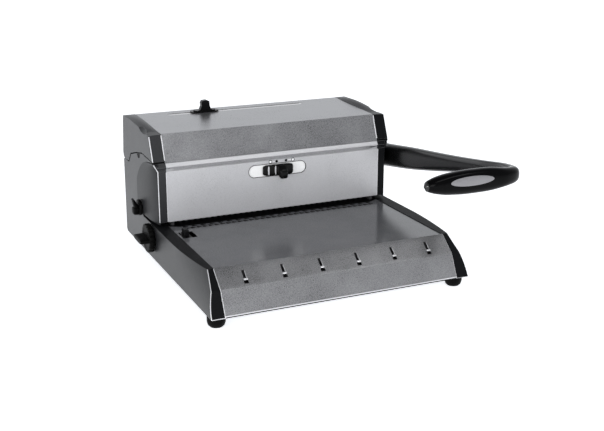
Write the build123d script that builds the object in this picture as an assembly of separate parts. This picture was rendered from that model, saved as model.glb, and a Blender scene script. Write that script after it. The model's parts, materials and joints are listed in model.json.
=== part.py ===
"""Manual binding machine for double-loop wire: punches two hole pitches and closes the wire.

All sizes are millimetres in the machine frame: X to the right, Y to the back from the face of
the lower front panel, Z up from the table. The written parts are shifted so that the origin is
the centre of the machine's footprint box, on the table.
"""
from build123d import *
import math
import os

# Hole patterns (the trade's two standard pitches: three to the inch and two to the inch)
INCH = 25.4
FINE_PITCH = INCH / 3
FINE_COUNT = 34
COARSE_PITCH = INCH / 2
COARSE_COUNT = 23
ROW_CENTRE_X = 3.0
FINE_ROW_Y = 20.0
COARSE_ROW_Y = 28.0
FINE_PIN = (4.0, 4.0)
COARSE_PIN = (5.4, 4.0)
PIN_CLEARANCE = 0.1

# Metal work
SHEET = 1.2
PANEL_HALF = 159.5
FRAME_INSET = 9.5
FRAME_THICK = 4.0
REAR_SHEET_INSET = 7.0
TIE_BAR_R = 5.0
TIE_BAR_PLACES = ((112.0, 116.0), (128.0, 74.0))
REAR_SCREW_R = 3.4

# Heights above the table
FOOT_HEIGHT = 15.0
TRAY_Z = 63.4
THROAT = 3.6
PANEL_BOTTOM_Z = 70.0
PANEL_GROOVE_Z = 140.8
GROOVE_HEIGHT = 5.4
GROOVE_DEPTH = 2.6
PANEL_TOP_Z = 151.2
SLOPE_FOOT_Z = 144.0
SLOPE_TOP_Z = 188.0
REAR_TOP_Z = 192.0

# Depths, back from the face of the lower front panel
BAND_TOP_Y = 3.1
SLOPE_TOP_Y = 18.0
REAR_TOP_Y = 146.0
BODY_REAR_Y = 157.0
PARTING_REAR_Y = 153.6
LEG_FRONT_Y = 62.0
TRAY_FRONT_Y = -180.6
RAIL_CREASE = (-205.0, 45.0)
RAIL_TOE_Y = -220.0

# Plastic end casings
CAP_WIDTH = 17.5
CAP_WAIST_DEPTH = 6.5
COVER_CAP_PROUD = 0.5
CAP_WALL = 2.5
CAP_GROOVE = (1.2, 2.4)
CROWN_HEIGHT = 4.6
CROWN_EDGE = 1.4
SCOOP_LENGTH = 42.0
SCOOP_DROP = 4.5
SCOOP_REACH = 5.2
SCOOP_Y = 41.0
BUFFER_R = 7.5
BOSS_R = 4.5
BOSS_HOLE_R = 1.6
BOSS_PLACES = ((12, 84), (12, 136), (96, 100), (140, 100), (96, 70), (140, 70))
BASE_FLARE = 17.9
BASE_FLARE_Y = -63.0
BASE_FOOT_PROUD = 0.4
RIDGE_HEIGHT = 1.0

# Gaps: between closed casings, between sliding faces and round turning shafts
COVER_GAP = 1.8
PARTING_GAP = 0.6
SLIDE_GAP = 0.3
RUNNING_GAP = 0.05

# Punch block
DIE_FRONT_Y = 10.0
DIE_REAR_Y = 44.0
DIE_THICK = 12.0
GUIDE_THICK = 12.0
PIN_ENTRY = 3.0
BEAM_LIFT = 2.0
BEAM_HEIGHT = 24.0
BEAM_FRONT_Y = 12.0
BEAM_REAR_Y = 34.0
BEAM_END_GAP = 0.4
TONGUE_Y = (16.0, 30.0)

# Lever drive
SHAFT_Y = 50.0
SHAFT_Z = 120.0
SHAFT_R = 6.5
BUSH_R = 10.0
BUSH_FLANGE_R = 13.0
TEETH = 16
DRIVE_MODULE = 1.25
PRESSURE_ANGLE = 20.0
ADDENDUM = 0.8
DEDENDUM = 1.0
BACKLASH = 0.3
LEVER_SWING = 80.0
PINION_INSET = 32.0
RACK_WIDTH = 9.0
RACK_SPACING = 2.0

# Wire closer
ANVIL_FRONT_Y = 8.0
ANVIL_THICK = 10.0
CLOSER_GAP = 8.0
CLOSER_DEPTH = 32.0
CLOSER_THICK = 6.0
CLOSER_LIP = 2.5

# Depth stop drive
DEPTH_SHAFT_Y = 72.0
DEPTH_SHAFT_R = 4.0
DEPTH_MODULE = 0.75
DEPTH_TRAVEL = 3.9
DEPTH_KNOB_R = 13.0
STOP_ARM_INSET = 30.0

# Edge guide drive
MARGIN_SHAFT_Y = 20.0
MARGIN_SHAFT_Z = 45.0
MARGIN_SHAFT_R = 5.0
MARGIN_LEAD = 8.0
GUIDE_TRAVEL = 6.0
GUIDE_PIN_R = 1.3
GUIDE_PIN_INSET = 12.5
GUIDE_WINDOW_INSET = (3.5, 23.0)
GUIDE_WINDOW_Y = (-55.5, -28.5)
GUIDE_ROD_Z = 53.0
GUIDE_ROD_R = 3.0
FENCE_HEIGHT = 8.6
MARGIN_KNOB_R = 20.0
KNOB_NOTCHES = 16

# Lever arm and grip
ARM_CLEARANCE = 13.0
ARM_THICK = 20.0
GRIP_Y = -300.0
GRIP_Z = 171.0
GRIP_LENGTH = 134.0
PAD_SIZE = (61.2, 12.8)
PAD_OFFSET = (-75.0, 3.2)
GRIP_HEIGHT = 29.0
GRIP_DEPTH = 23.0
LEVER_HUB_R = 19.0
LEVER_BOLT_R = 8.0
ARM_SECTION_COUNT = 6

# Sliders
SCALE_THICK = 1.5
CLIP_THICK = 1.5
WINDOW_CENTRE = (1.3, 126.6)
WINDOW_SIZE = (87.3, 18.2)
FRONT_SLIDER_WIDTH = 45.6
FRONT_SLIDER_TRAVEL = 16.0
TOP_SLOT_X = (-117.0, 93.0)
TOP_SLOT_Y = 122.0
TOP_SLOT_WIDTH = 9.0
TOP_SCALE_SUNK = 0.3
TOP_STEM_BACK = 2.9
TOP_STEM_THICK = 2.0
TOP_SLIDER_X = -62.5
TOP_SLIDER_WIDTH = 43.0

# Cover hinge
HINGE_KNUCKLE_R = 9.0
HINGE_PIN_R = 2.5
HINGE_LUG_R = 6.0
HINGE_PIN_INSET = 7.0

# Rail hooks
HOOK_COUNT = 6
HOOK_PITCH = 6 * FINE_PITCH
HOOK_SLOT = (2.2, 15.0)
HOOK_SLOT_END = 7.6
HOOK_HOLE = (6.0, 4.2)
HOOK_THICK = 1.2
HOOK_REACH = 3.2
HOOK_RISE = 2.2
HOOK_GAP = 0.2
HOOK_SEAT = (9.0, 9.0, 1.5)
RAIL_WALL = 1.6

# Feet
FOOT_R = 11.5
FOOT_TAPER = 3.6
FOOT_HEAD_R = 3.4
FOOT_SCREW_R = 2.0
FRONT_FOOT_OUT = 6.0
REAR_FOOT_IN = 13.5
FRONT_FOOT_Y = -202.5
REAR_FOOT_Y = 135.0

# Gauge holes in the tray, as (front-to-back place, hole width, hole half depth)
FINE_GAUGE = (-15.7, 3.8, 1.6)
COARSE_GAUGE = (-7.8, 4.6, 1.6)

# Chip drawer
DRAWER_GAP = 4.0
DRAWER_TOP_Z = 49.0
DRAWER_FRONT_Y = 7.0
DRAWER_WALL = 2.0

# Derived places
FRAME_INNER = PANEL_HALF - FRAME_INSET
FRAME_OUTER = FRAME_INNER + FRAME_THICK
CAP_HALF = PANEL_HALF + CAP_WIDTH
CAP_WAIST_HALF = CAP_HALF - CAP_WAIST_DEPTH
COVER_CAP_HALF = CAP_HALF + COVER_CAP_PROUD
BASE_CAP_FOOT_HALF = CAP_HALF + BASE_FOOT_PROUD
ARM_X = CAP_HALF + ARM_CLEARANCE
GRIP_TIP_X = ARM_X - GRIP_LENGTH
PINION_INNER_X = FRAME_INNER - PINION_INSET
STOP_ARM_X = FRAME_INNER - STOP_ARM_INSET
HINGE_PIN_END = CAP_HALF - HINGE_PIN_INSET
GUIDE_PIN_X = GUIDE_PIN_INSET - PANEL_HALF
GUIDE_WINDOW_X = (GUIDE_WINDOW_INSET[0] - PANEL_HALF, GUIDE_WINDOW_INSET[1] - PANEL_HALF)
DRAWER_HALF = -GUIDE_PIN_X - 3 - GUIDE_TRAVEL - DRAWER_GAP
FRONT_FOOT = (PANEL_HALF + FRONT_FOOT_OUT, FRONT_FOOT_Y)
REAR_FOOT = (PANEL_HALF - REAR_FOOT_IN, REAR_FOOT_Y)
DIE_BOTTOM_Z = TRAY_Z - DIE_THICK
GUIDE_Z = TRAY_Z + THROAT
GUIDE_TOP_Z = GUIDE_Z + GUIDE_THICK
BEAM_Z = GUIDE_TOP_Z + BEAM_LIFT
DRIVE_R = DRIVE_MODULE * TEETH / 2
LIFT = math.radians(LEVER_SWING) * DRIVE_R
DEPTH_R = DEPTH_MODULE * TEETH / 2
PAN_FLOOR_Z = FOOT_HEIGHT + SHEET
CLOSER_Z = SHAFT_Z + DRIVE_R + 11.0
CLOSER_FRONT_Y = ANVIL_FRONT_Y + ANVIL_THICK + CLOSER_GAP
HINGE_Y = PARTING_REAR_Y - HINGE_KNUCKLE_R
PARTING_REAR_Z = 126.3
REAR_SHEET_Y = BODY_REAR_Y - REAR_SHEET_INSET
BUFFER_Y = SHAFT_Y + 22
BUFFER_Z = PANEL_TOP_Z + 0.6
CLOSER_TONGUE_Y = (CLOSER_FRONT_Y + 8, CLOSER_FRONT_Y + CLOSER_DEPTH - 2)
LEVER_HUB_X = (CAP_HALF + 1.5, ARM_X + ARM_THICK / 2)
GUIDE_ROD_Y = (GUIDE_WINDOW_Y[0] + GUIDE_WINDOW_Y[1]) / 2
HINGE_Z = PARTING_REAR_Z + COVER_GAP + HINGE_KNUCKLE_R


def face_yz(points, x):
    """Flat face from (y, z) corners, standing at the given x."""
    return Plane.YZ.offset(x) * make_face(Polyline(*points, close=True))


def along_x(face, x0, x1):
    """Y-Z face drawn at x = 0, pushed out from x0 to x1."""
    return extrude(Pos(x0, 0, 0) * face, amount=x1 - x0, dir=(1, 0, 0))


def prism(points, x0, x1):
    """Solid with a (y, z) outline between two x stations."""
    return along_x(face_yz(points, 0), x0, x1)


def slab(x0, x1, y0, y1, z0, z1):
    """Rectangular solid between limits."""
    middle = Pos((x0 + x1) / 2, (y0 + y1) / 2, (z0 + z1) / 2)
    return middle * Box(x1 - x0, y1 - y0, z1 - z0)


def rod(x0, x1, y, z, radius):
    """Round bar along X."""
    centre = Pos((x0 + x1) / 2, y, z) * Rot(0, 90, 0)
    return centre * Cylinder(radius, x1 - x0)


def bore(x0, x1, y, z, radius):
    """Round cutter along X, a little longer than the wall it goes through."""
    return rod(x0 - 1, x1 + 1, y, z, radius)


def pair(solid):
    """The solid and its mirror image across the machine's middle plane."""
    return Compound([solid, mirror(solid, about=Plane.YZ)])


def row_places(count, pitch):
    """X places of a hole row about the row centre."""
    first = ROW_CENTRE_X - pitch * (count - 1) / 2
    return [first + pitch * index for index in range(count)]


def punch_rows(growth, z0, z1):
    """Both rows of punches as solids between two heights, grown all round by a clearance."""
    rows = [
        (FINE_COUNT, FINE_PITCH, FINE_ROW_Y, FINE_PIN),
        (COARSE_COUNT, COARSE_PITCH, COARSE_ROW_Y, COARSE_PIN),
    ]
    result = []
    for count, pitch, y, (width, depth) in rows:
        shapes = []
        for x in row_places(count, pitch):
            shapes.append(slab(
                x - width / 2 - growth, x + width / 2 + growth,
                y - depth / 2 - growth, y + depth / 2 + growth, z0, z1,
            ))
        result.append(shapes)
    return result


def cut_all(body, tools):
    """Body less a list of tools, in one cut."""
    return body - Compound(list(tools))


def involute_point(base, radius):
    """Angle swept by an involute between its base circle and a radius."""
    ratio = max(1.0, radius / base)
    return math.sqrt(ratio * ratio - 1) - math.acos(1 / ratio)


def gear_face(module, hole_r):
    """Spur gear face in Y-Z about its own centre, with a tooth centred on +Y."""
    pitch_r = module * TEETH / 2
    base = pitch_r * math.cos(math.radians(PRESSURE_ANGLE))
    tip = pitch_r + ADDENDUM * module
    root = pitch_r - DEDENDUM * module
    half = (math.pi * module / 2 - BACKLASH / 2) / (2 * pitch_r)
    half_at_base = half + involute_point(base, pitch_r)
    radii = [base + (tip - base) * step / 3 for step in range(4)]
    flank = [(r, half_at_base - involute_point(base, r)) for r in radii]
    points = []
    for tooth in range(TEETH):
        middle = 2 * math.pi * tooth / TEETH
        side = [(root, -half_at_base)] + [(r, -a) for r, a in flank]
        side += [(r, a) for r, a in reversed(flank)] + [(root, half_at_base)]
        for radius, angle in side:
            turn = middle + angle
            points.append((radius * math.cos(turn), radius * math.sin(turn)))
    return face_yz(points, 0) - Plane.YZ * Circle(hole_r)


def rack_points(module, count):
    """Toothed edge of a rack as (along, out) pairs, spaces centred on 0, teeth pointing out."""
    pitch = math.pi * module
    slope = math.tan(math.radians(PRESSURE_ANGLE))
    half = pitch / 4 - BACKLASH / 4
    root_half = half + DEDENDUM * module * slope
    tip_half = half - ADDENDUM * module * slope
    points = []
    for index in range(count):
        middle = (index - (count - 1) / 2) * pitch
        points += [
            (middle - root_half, -DEDENDUM * module),
            (middle - tip_half, ADDENDUM * module),
            (middle + tip_half, ADDENDUM * module),
            (middle + root_half, -DEDENDUM * module),
        ]
    return points


def lower_outline():
    """Side outline of the lower end casing, up to the parting line of the cover."""
    return [
        (0, PANEL_BOTTOM_Z), (0, PANEL_GROOVE_Z), (-0.8, PANEL_GROOVE_Z + GROOVE_HEIGHT),
        (BAND_TOP_Y, PANEL_TOP_Z), (8, PANEL_TOP_Z + 2.2), (20, PANEL_TOP_Z + 3.0),
        (54, PANEL_TOP_Z + 3.6), (84, PANEL_TOP_Z - 2.2), (112, PANEL_TOP_Z - 9.6),
        (124.5, PARTING_REAR_Z + 1.2),
        (PARTING_REAR_Y, PARTING_REAR_Z), (BODY_REAR_Y, FOOT_HEIGHT + 4),
        (BODY_REAR_Y - 4, FOOT_HEIGHT), (LEG_FRONT_Y, FOOT_HEIGHT),
        (LEG_FRONT_Y, PANEL_BOTTOM_Z),
    ]


def parting_cutter(x0, x1):
    """What the cover must stay clear of: the lower casing's outline grown by the cover's gap."""
    grown = offset(make_face(Polyline(*lower_outline(), close=True)), COVER_GAP,
                   kind=Kind.INTERSECTION)
    return along_x(Plane.YZ * grown, x0, x1)


def inset_pocket(face, x0, x1):
    """Inside of an end casing: its outline drawn in by the wall."""
    inner = offset(face, -CAP_WALL, kind=Kind.INTERSECTION)
    return extrude(Plane.YZ.offset(x0) * inner, amount=x1 - x0, dir=(1, 0, 0))


def waist_scoop():
    """Hollow that draws the front of the lower casing in, steep above and long behind."""
    low = PANEL_BOTTOM_Z - 3
    outer = [(-3, PANEL_TOP_Z + 0.2), (-3, low), (88, low), (88, low + 45)]
    inner = [(-3, PANEL_GROOVE_Z - 0.4), (-3, low), (38, low), (38, low + 31)]
    stations = ((CAP_HALF + 0.01, outer, (52, PANEL_TOP_Z - 8.2)),
                (CAP_WAIST_HALF, inner, (27, PANEL_TOP_Z - 21.2)))
    faces = []
    for x, corners, middle in stations:
        sides = Polyline(*corners)
        crown = ThreePointArc(corners[-1], middle, corners[0])
        faces.append(Plane.YZ.offset(x) * make_face([sides, crown]))
    return loft(faces, ruled=True)


def cap_groove():
    """Notch across the front of a lower casing that carries the panel's groove outwards."""
    depth, height = CAP_GROOVE
    floor_z = PANEL_GROOVE_Z
    outline = [(-3, floor_z), (depth, floor_z + 0.3), (depth, floor_z + height), (-3, floor_z + height + 0.3)]
    return prism(outline, PANEL_HALF, CAP_HALF)


def right_body_cap():
    """Lower end casing on the right, a moulded shell open towards the frame plate."""
    outline = make_face(Polyline(*lower_outline(), close=True))
    shell = along_x(Plane.YZ * outline, PANEL_HALF, CAP_HALF)
    shell -= waist_scoop()
    shell -= inset_pocket(outline, PANEL_HALF, CAP_WAIST_HALF - CAP_WALL)
    for y, z in BOSS_PLACES:
        shell += rod(FRAME_OUTER, CAP_WAIST_HALF - CAP_WALL, y, z, BOSS_R)
        shell -= rod(FRAME_OUTER - 1, CAP_WAIST_HALF - 2 * CAP_WALL, y, z, BOSS_HOLE_R)
    shell -= bore(PANEL_HALF, CAP_HALF, BUFFER_Y, BUFFER_Z, BUFFER_R)
    return shell - cap_groove()


def body_caps():
    """Both lower casings: the right one lets the lever shaft out, the left one the depth knob."""
    right = right_body_cap()
    left = mirror(right, about=Plane.YZ)
    right -= bore(FRAME_OUTER, CAP_HALF, SHAFT_Y, SHAFT_Z, SHAFT_R + 1)
    left -= bore(-CAP_HALF, -FRAME_OUTER, DEPTH_SHAFT_Y, depth_shaft_z(), DEPTH_SHAFT_R + 1)
    return {"right_body_cap": right, "left_body_cap": left}


def cover_buffers():
    """Two soft plugs in the casing ears; the closed cover rests on them."""
    plug = rod(PANEL_HALF + 1, CAP_HALF - 0.5, BUFFER_Y, BUFFER_Z, BUFFER_R)
    outline = make_face(Polyline(*lower_outline(), close=True))
    ear = offset(outline, COVER_GAP / 2, kind=Kind.INTERSECTION)
    seated = plug & along_x(Plane.YZ * ear, PANEL_HALF, CAP_HALF)
    return {"cover_buffers": pair(seated)}


def depth_shaft_z():
    """Height of the depth knob's shaft: its pinion meshes with the rack on the stop's top."""
    rack_pitch_line = TRAY_Z + SLIDE_GAP + 3.0 + DEDENDUM * DEPTH_MODULE
    return rack_pitch_line + DEPTH_R


def front_panel():
    """Folded front sheet with the selector window, a groove and the sloped band at its top."""
    lip = PANEL_GROOVE_Z
    brow = PANEL_GROOVE_Z + GROOVE_HEIGHT
    back = GROOVE_DEPTH + SHEET
    outer = [
        (4.4, PANEL_BOTTOM_Z), (0, PANEL_BOTTOM_Z), (0, lip - 0.7), (0.6, lip), (GROOVE_DEPTH, lip + 0.5),
        (GROOVE_DEPTH, brow - 0.9), (-0.8, brow), (BAND_TOP_Y, PANEL_TOP_Z), (12, PANEL_TOP_Z),
    ]
    inner = [
        (12, PANEL_TOP_Z - SHEET), (BAND_TOP_Y + 1.0, PANEL_TOP_Z - SHEET), (1.4, brow + 0.7),
        (back, brow + 0.1), (back, lip - 0.6), (SHEET, lip - 1.3), (SHEET, PANEL_BOTTOM_Z + SHEET),
        (4.4, PANEL_BOTTOM_Z + SHEET),
    ]
    sheet = prism(outer + inner, -PANEL_HALF, PANEL_HALF)
    x, z = WINDOW_CENTRE
    window = Pos(x, SHEET, z) * Rot(90, 0, 0) * SlotOverall(*WINDOW_SIZE)
    return {"front_panel": sheet - extrude(window, amount=4 * SHEET, both=True)}


def front_selector():
    """Scale plate behind the window, and the sliding selector with its clip."""
    x, z = WINDOW_CENTRE
    width, height = WINDOW_SIZE
    plate = slab(x - width / 2 - 8, x + width / 2 + 8, SHEET, SHEET + SCALE_THICK,
                 z - height / 2 - 5, z + height / 2 + 3.4)
    stem_half = 4.0
    slot_length = 2 * (stem_half + FRONT_SLIDER_TRAVEL) + 2
    slot = Pos(x, SHEET, z) * Rot(90, 0, 0) * SlotOverall(slot_length, 6.0)
    plate -= extrude(slot, amount=6, both=True)
    half = FRONT_SLIDER_WIDTH / 2
    depth = SHEET - SLIDE_GAP
    block_points = [
        (-half, depth), (-half, -1.0), (-half + 3, -2.4), (-1.5, -2.4), (1.0, -4.6),
        (half - 9, -4.6), (half - 4, -2.4), (half, -1.0), (half, depth),
    ]
    block = make_face(Polyline(*block_points, close=True))
    knob = Pos(x, 0, z - 7.4) * extrude(block, amount=14.8)
    for step in (-17.0, -10.5):
        knob += slab(x + step, x + step + 2.2, -4.4, -2.0, z - 7.0, z + 7.0)
    tab_outline = [(-4.0, z + 3.5), (-10.5, z + 1.0), (-13.0, z - 3.0), (-11.5, z - 6.5), (-4.0, z - 5.5)]
    knob += prism(tab_outline, x - 1.5, x + 11.0)
    clip_front = SHEET + SCALE_THICK + SLIDE_GAP
    knob += slab(x - stem_half, x + stem_half, depth - 1, clip_front, z - 2.2, z + 2.2)
    clip = slab(x - 14, x + 14, clip_front, clip_front + CLIP_THICK, z - 7, z + 7)
    return {"front_scale_plate": plate, "front_slider": knob, "front_slider_clip": clip}


def rear_panel():
    """Plain rear sheet with the cut-out that the chip drawer fills."""
    y = REAR_SHEET_Y
    sheet = slab(-PANEL_HALF, PANEL_HALF, y, y + SHEET, PAN_FLOOR_Z, PARTING_REAR_Z - 0.6)
    sheet -= slab(-DRAWER_HALF - 4.5, DRAWER_HALF + 4.5, y - 1, y + 3, PAN_FLOOR_Z - 1, DRAWER_TOP_Z + 1)
    screws = []
    for x in (-FRAME_INNER - 2, FRAME_INNER + 2):
        for z in (70.0, 112.0):
            screws.append(round_screw(x, y + SHEET, z))
    return {"rear_panel": sheet, "rear_panel_screws": Compound(screws)}


def round_screw(x, y, z):
    """Domed screw head on a rear face, with a cross recess."""
    foot_up = (Align.CENTER, Align.CENTER, Align.MIN)
    head = Pos(x, y, z) * Rot(-90, 0, 0) * Cylinder(REAR_SCREW_R, 2.0, align=foot_up)
    head = fillet(head.edges().group_by(Axis.Y)[-1], 1.2)
    for width, height in ((4.0, 0.9), (0.9, 4.0)):
        head -= slab(x - width / 2, x + width / 2, y + 1.0, y + 2.5, z - height / 2, z + height / 2)
    return head


def round_hole(y, z, radius):
    """Circle on the side plane, to be taken out of a side plate's outline."""
    return Plane.YZ * Pos(y, z, 0) * Circle(radius)


def square_hole(y0, y1, z0, z1):
    """Rectangle on the side plane, to be taken out of a side plate's outline."""
    return face_yz([(y0, z0), (y1, z0), (y1, z1), (y0, z1)], 0)


def frame_plate_face():
    """Outline of a side plate with the shaft seats, the guide slots and the hinge lug."""
    rear = REAR_SHEET_Y
    top = PANEL_TOP_Z + 0.6
    step_y = HINGE_Y - 38
    outline = [
        (4.5, PAN_FLOOR_Z), (4.5, PANEL_TOP_Z - SHEET), (12.2, PANEL_TOP_Z - SHEET), (12.2, top),
        (step_y, top), (step_y + 20, HINGE_Z), (HINGE_Y, HINGE_Z - HINGE_LUG_R), (HINGE_Y, HINGE_Z - 14),
        (rear, HINGE_Z - 26), (rear, PAN_FLOOR_Z),
    ]
    face = face_yz(outline, 0) + round_hole(HINGE_Y, HINGE_Z, HINGE_LUG_R)
    face -= round_hole(HINGE_Y, HINGE_Z, HINGE_PIN_R)
    face -= round_hole(SHAFT_Y, SHAFT_Z, BUSH_R)
    face -= round_hole(DEPTH_SHAFT_Y, depth_shaft_z(), DEPTH_SHAFT_R + RUNNING_GAP)
    face -= square_hole(TONGUE_Y[0] - SLIDE_GAP, TONGUE_Y[1] + SLIDE_GAP, BEAM_Z + 1 - SLIDE_GAP,
                        BEAM_Z + BEAM_HEIGHT - 1 + LIFT + SLIDE_GAP)
    face -= square_hole(CLOSER_TONGUE_Y[0] - SLIDE_GAP, CLOSER_TONGUE_Y[1] + LIFT + SLIDE_GAP,
                        CLOSER_Z + 1 - SLIDE_GAP, CLOSER_Z + CLOSER_THICK - 1 + SLIDE_GAP)
    return face


def frame_plates():
    """Steel side plates; the left one also passes the margin spindle."""
    face = frame_plate_face()
    right = along_x(face, FRAME_INNER, FRAME_OUTER)
    face -= round_hole(MARGIN_SHAFT_Y, MARGIN_SHAFT_Z, MARGIN_SHAFT_R + RUNNING_GAP)
    left = along_x(face, -FRAME_OUTER, -FRAME_INNER)
    return {"right_frame_plate": right, "left_frame_plate": left}


def shaft_bushings():
    """Flanged bronze bushes for the lever shaft."""
    bush = rod(FRAME_INNER, FRAME_OUTER, SHAFT_Y, SHAFT_Z, BUSH_R)
    bush += rod(FRAME_OUTER, FRAME_OUTER + 2, SHAFT_Y, SHAFT_Z, BUSH_FLANGE_R)
    bush -= bore(FRAME_INNER, FRAME_OUTER + 2, SHAFT_Y, SHAFT_Z, SHAFT_R + RUNNING_GAP)
    return {"shaft_bushings": pair(bush)}


def tie_bars():
    """Two spacer bars that hold the frame plates apart at the rear."""
    bars = [rod(-FRAME_INNER, FRAME_INNER, y, z, TIE_BAR_R) for y, z in TIE_BAR_PLACES]
    return {"frame_tie_bars": Compound(bars)}


def punch_block():
    """Die, punch guide, press beam, racks and the two rows of punches."""
    die = slab(-FRAME_INNER, FRAME_INNER, DIE_FRONT_Y, DIE_REAR_Y, DIE_BOTTOM_Z, TRAY_Z)
    guide = slab(-FRAME_INNER, FRAME_INNER, DIE_FRONT_Y, DIE_REAR_Y, GUIDE_Z, GUIDE_TOP_Z)
    holes = punch_rows(PIN_CLEARANCE, DIE_BOTTOM_Z, GUIDE_TOP_Z)
    tools = holes[0] + holes[1]
    beam_half = FRAME_INNER - BEAM_END_GAP
    beam_outline = [
        (BEAM_FRONT_Y, BEAM_Z), (BEAM_REAR_Y, BEAM_Z), (BEAM_REAR_Y, BEAM_Z + BEAM_HEIGHT),
        (BEAM_FRONT_Y + 5, BEAM_Z + BEAM_HEIGHT), (BEAM_FRONT_Y, BEAM_Z + BEAM_HEIGHT - 8),
    ]
    beam = prism(beam_outline, -beam_half, beam_half)
    tongue_half = FRAME_OUTER - BEAM_END_GAP
    tongue = slab(-tongue_half, tongue_half, *TONGUE_Y, BEAM_Z + 1, BEAM_Z + BEAM_HEIGHT - 1)
    fine, coarse = punch_rows(0, TRAY_Z - PIN_ENTRY, BEAM_Z)
    pitch = math.pi * DRIVE_MODULE
    rack_top = SHAFT_Z + pitch
    pitch_y = SHAFT_Y - DRIVE_R
    edge = [(pitch_y + out, SHAFT_Z + along) for along, out in rack_points(DRIVE_MODULE, 16)]
    edge = [(y, z) for y, z in edge if BEAM_Z + 4 < z < rack_top]
    rack_outline = edge + [(BEAM_REAR_Y, rack_top - 0.4), (BEAM_REAR_Y, BEAM_Z + 4)]
    rack = prism(rack_outline, PINION_INNER_X + 1, PINION_INNER_X + 1 + RACK_WIDTH)
    return {
        "die_plate": cut_all(die, tools),
        "punch_guide": cut_all(guide, tools),
        "press_beam": beam + tongue,
        "press_racks": pair(rack),
        "fine_pitch_punches": Compound(fine),
        "coarse_pitch_punches": Compound(coarse),
    }


def lever_drive():
    """Main shaft and its two wide pinions."""
    shaft = rod(-FRAME_OUTER - 3, LEVER_HUB_X[0] + 12, SHAFT_Y, SHAFT_Z, SHAFT_R)
    shaft = chamfer(shaft.edges().filter_by(GeomType.CIRCLE), 0.8)
    width = 2 * RACK_WIDTH + RACK_SPACING + 2
    gear = extrude(gear_face(DRIVE_MODULE, SHAFT_R), amount=width, dir=(1, 0, 0))
    gear = Pos(PINION_INNER_X, SHAFT_Y, SHAFT_Z) * gear
    return {"lever_shaft": shaft, "drive_pinions": pair(gear)}


def wire_closer():
    """Fixed anvil bar and the moving jaw bar with its racks."""
    rear = ANVIL_FRONT_Y + ANVIL_THICK
    top = PANEL_TOP_Z - SHEET
    floor_z = CLOSER_Z - 6.5
    anvil_outline = [
        (ANVIL_FRONT_Y, floor_z - 8), (rear, floor_z - 8), (rear, floor_z), (rear + 9, floor_z),
        (rear + 9, floor_z + 2.5), (rear, floor_z + 2.5), (rear, top), (ANVIL_FRONT_Y, top),
    ]
    anvil = prism(anvil_outline, -FRAME_INNER, FRAME_INNER)
    y0 = CLOSER_FRONT_Y
    y1 = CLOSER_FRONT_Y + CLOSER_DEPTH
    z1 = CLOSER_Z + CLOSER_THICK
    jaw_outline = [
        (y0, CLOSER_Z - CLOSER_LIP), (y0 + 3.5, CLOSER_Z - CLOSER_LIP), (y0 + 3.5, CLOSER_Z),
        (y1, CLOSER_Z), (y1, z1), (y0 + 1.5, z1), (y0, z1 - 1.5),
    ]
    jaw = prism(jaw_outline, -FRAME_INNER + 4, FRAME_INNER - 4)
    tongue_half = FRAME_OUTER - BEAM_END_GAP
    jaw += slab(-tongue_half, tongue_half, *CLOSER_TONGUE_Y, CLOSER_Z + 1, z1 - 1)
    pitch_z = SHAFT_Z + DRIVE_R
    first = y0 + 4
    last = y1 - 1
    edge = [(SHAFT_Y + along, pitch_z - out) for along, out in rack_points(DRIVE_MODULE, 16)]
    edge = [(y, z) for y, z in edge if first < y < last]
    rack_outline = edge + [(last, CLOSER_Z), (first, CLOSER_Z)]
    x0 = PINION_INNER_X + 1 + RACK_WIDTH + RACK_SPACING
    rack = prism(rack_outline, x0, x0 + RACK_WIDTH)
    return {"closer_anvil": anvil, "closer_jaw": jaw, "closer_racks": pair(rack)}


def depth_stop():
    """Paper stop behind the punches, with two racked arms, and the knob shaft that sets it."""
    z0 = TRAY_Z + SLIDE_GAP
    z1 = GUIDE_Z - SLIDE_GAP
    bar_y = COARSE_ROW_Y + COARSE_PIN[1] / 2 + 3
    stop = slab(-STOP_ARM_X - 12, STOP_ARM_X + 12, bar_y, bar_y + 4, z0, z1)
    shaft_z = depth_shaft_z()
    pitch_z = shaft_z - DEPTH_R
    for x in (-STOP_ARM_X, STOP_ARM_X):
        arm_end = DEPTH_SHAFT_Y + DEPTH_R + DEPTH_TRAVEL
        edge = [(DEPTH_SHAFT_Y + along, pitch_z + out) for along, out in rack_points(DEPTH_MODULE, 8)]
        edge = [(y, z) for y, z in edge if y < arm_end]
        outline = [(bar_y, z0), (bar_y, z1)] + [(edge[0][0], z1)] + edge
        outline += [(arm_end, edge[-1][1]), (arm_end, z0)]
        stop += prism(outline, x - 5, x + 5)
    shaft = rod(-CAP_HALF - 8, FRAME_OUTER, DEPTH_SHAFT_Y, shaft_z, DEPTH_SHAFT_R)
    gear = extrude(gear_face(DEPTH_MODULE, DEPTH_SHAFT_R), amount=8, dir=(1, 0, 0))
    gear = Pos(-4, DEPTH_SHAFT_Y, shaft_z) * gear
    gears = Compound([Pos(-STOP_ARM_X, 0, 0) * gear, Pos(STOP_ARM_X, 0, 0) * gear])
    knob = rod(-CAP_HALF - 4.5, -CAP_HALF - 0.8, DEPTH_SHAFT_Y, shaft_z, DEPTH_KNOB_R)
    knob = fillet(knob.edges().group_by(Axis.X)[0], 1.2)
    blade = [(-4, -13), (4, -13), (6, -3), (2.2, 12), (-2.2, 12), (-6, -3)]
    placed = [(DEPTH_SHAFT_Y + y, shaft_z + z) for y, z in blade]
    knob += prism(placed, -CAP_HALF - 13, -CAP_HALF - 4.5)
    knob -= rod(-CAP_HALF - 8, -CAP_HALF + 1, DEPTH_SHAFT_Y, shaft_z, DEPTH_SHAFT_R)
    return {"depth_stop": stop, "depth_shaft": shaft, "depth_pinions": gears, "depth_knob": knob}


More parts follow.
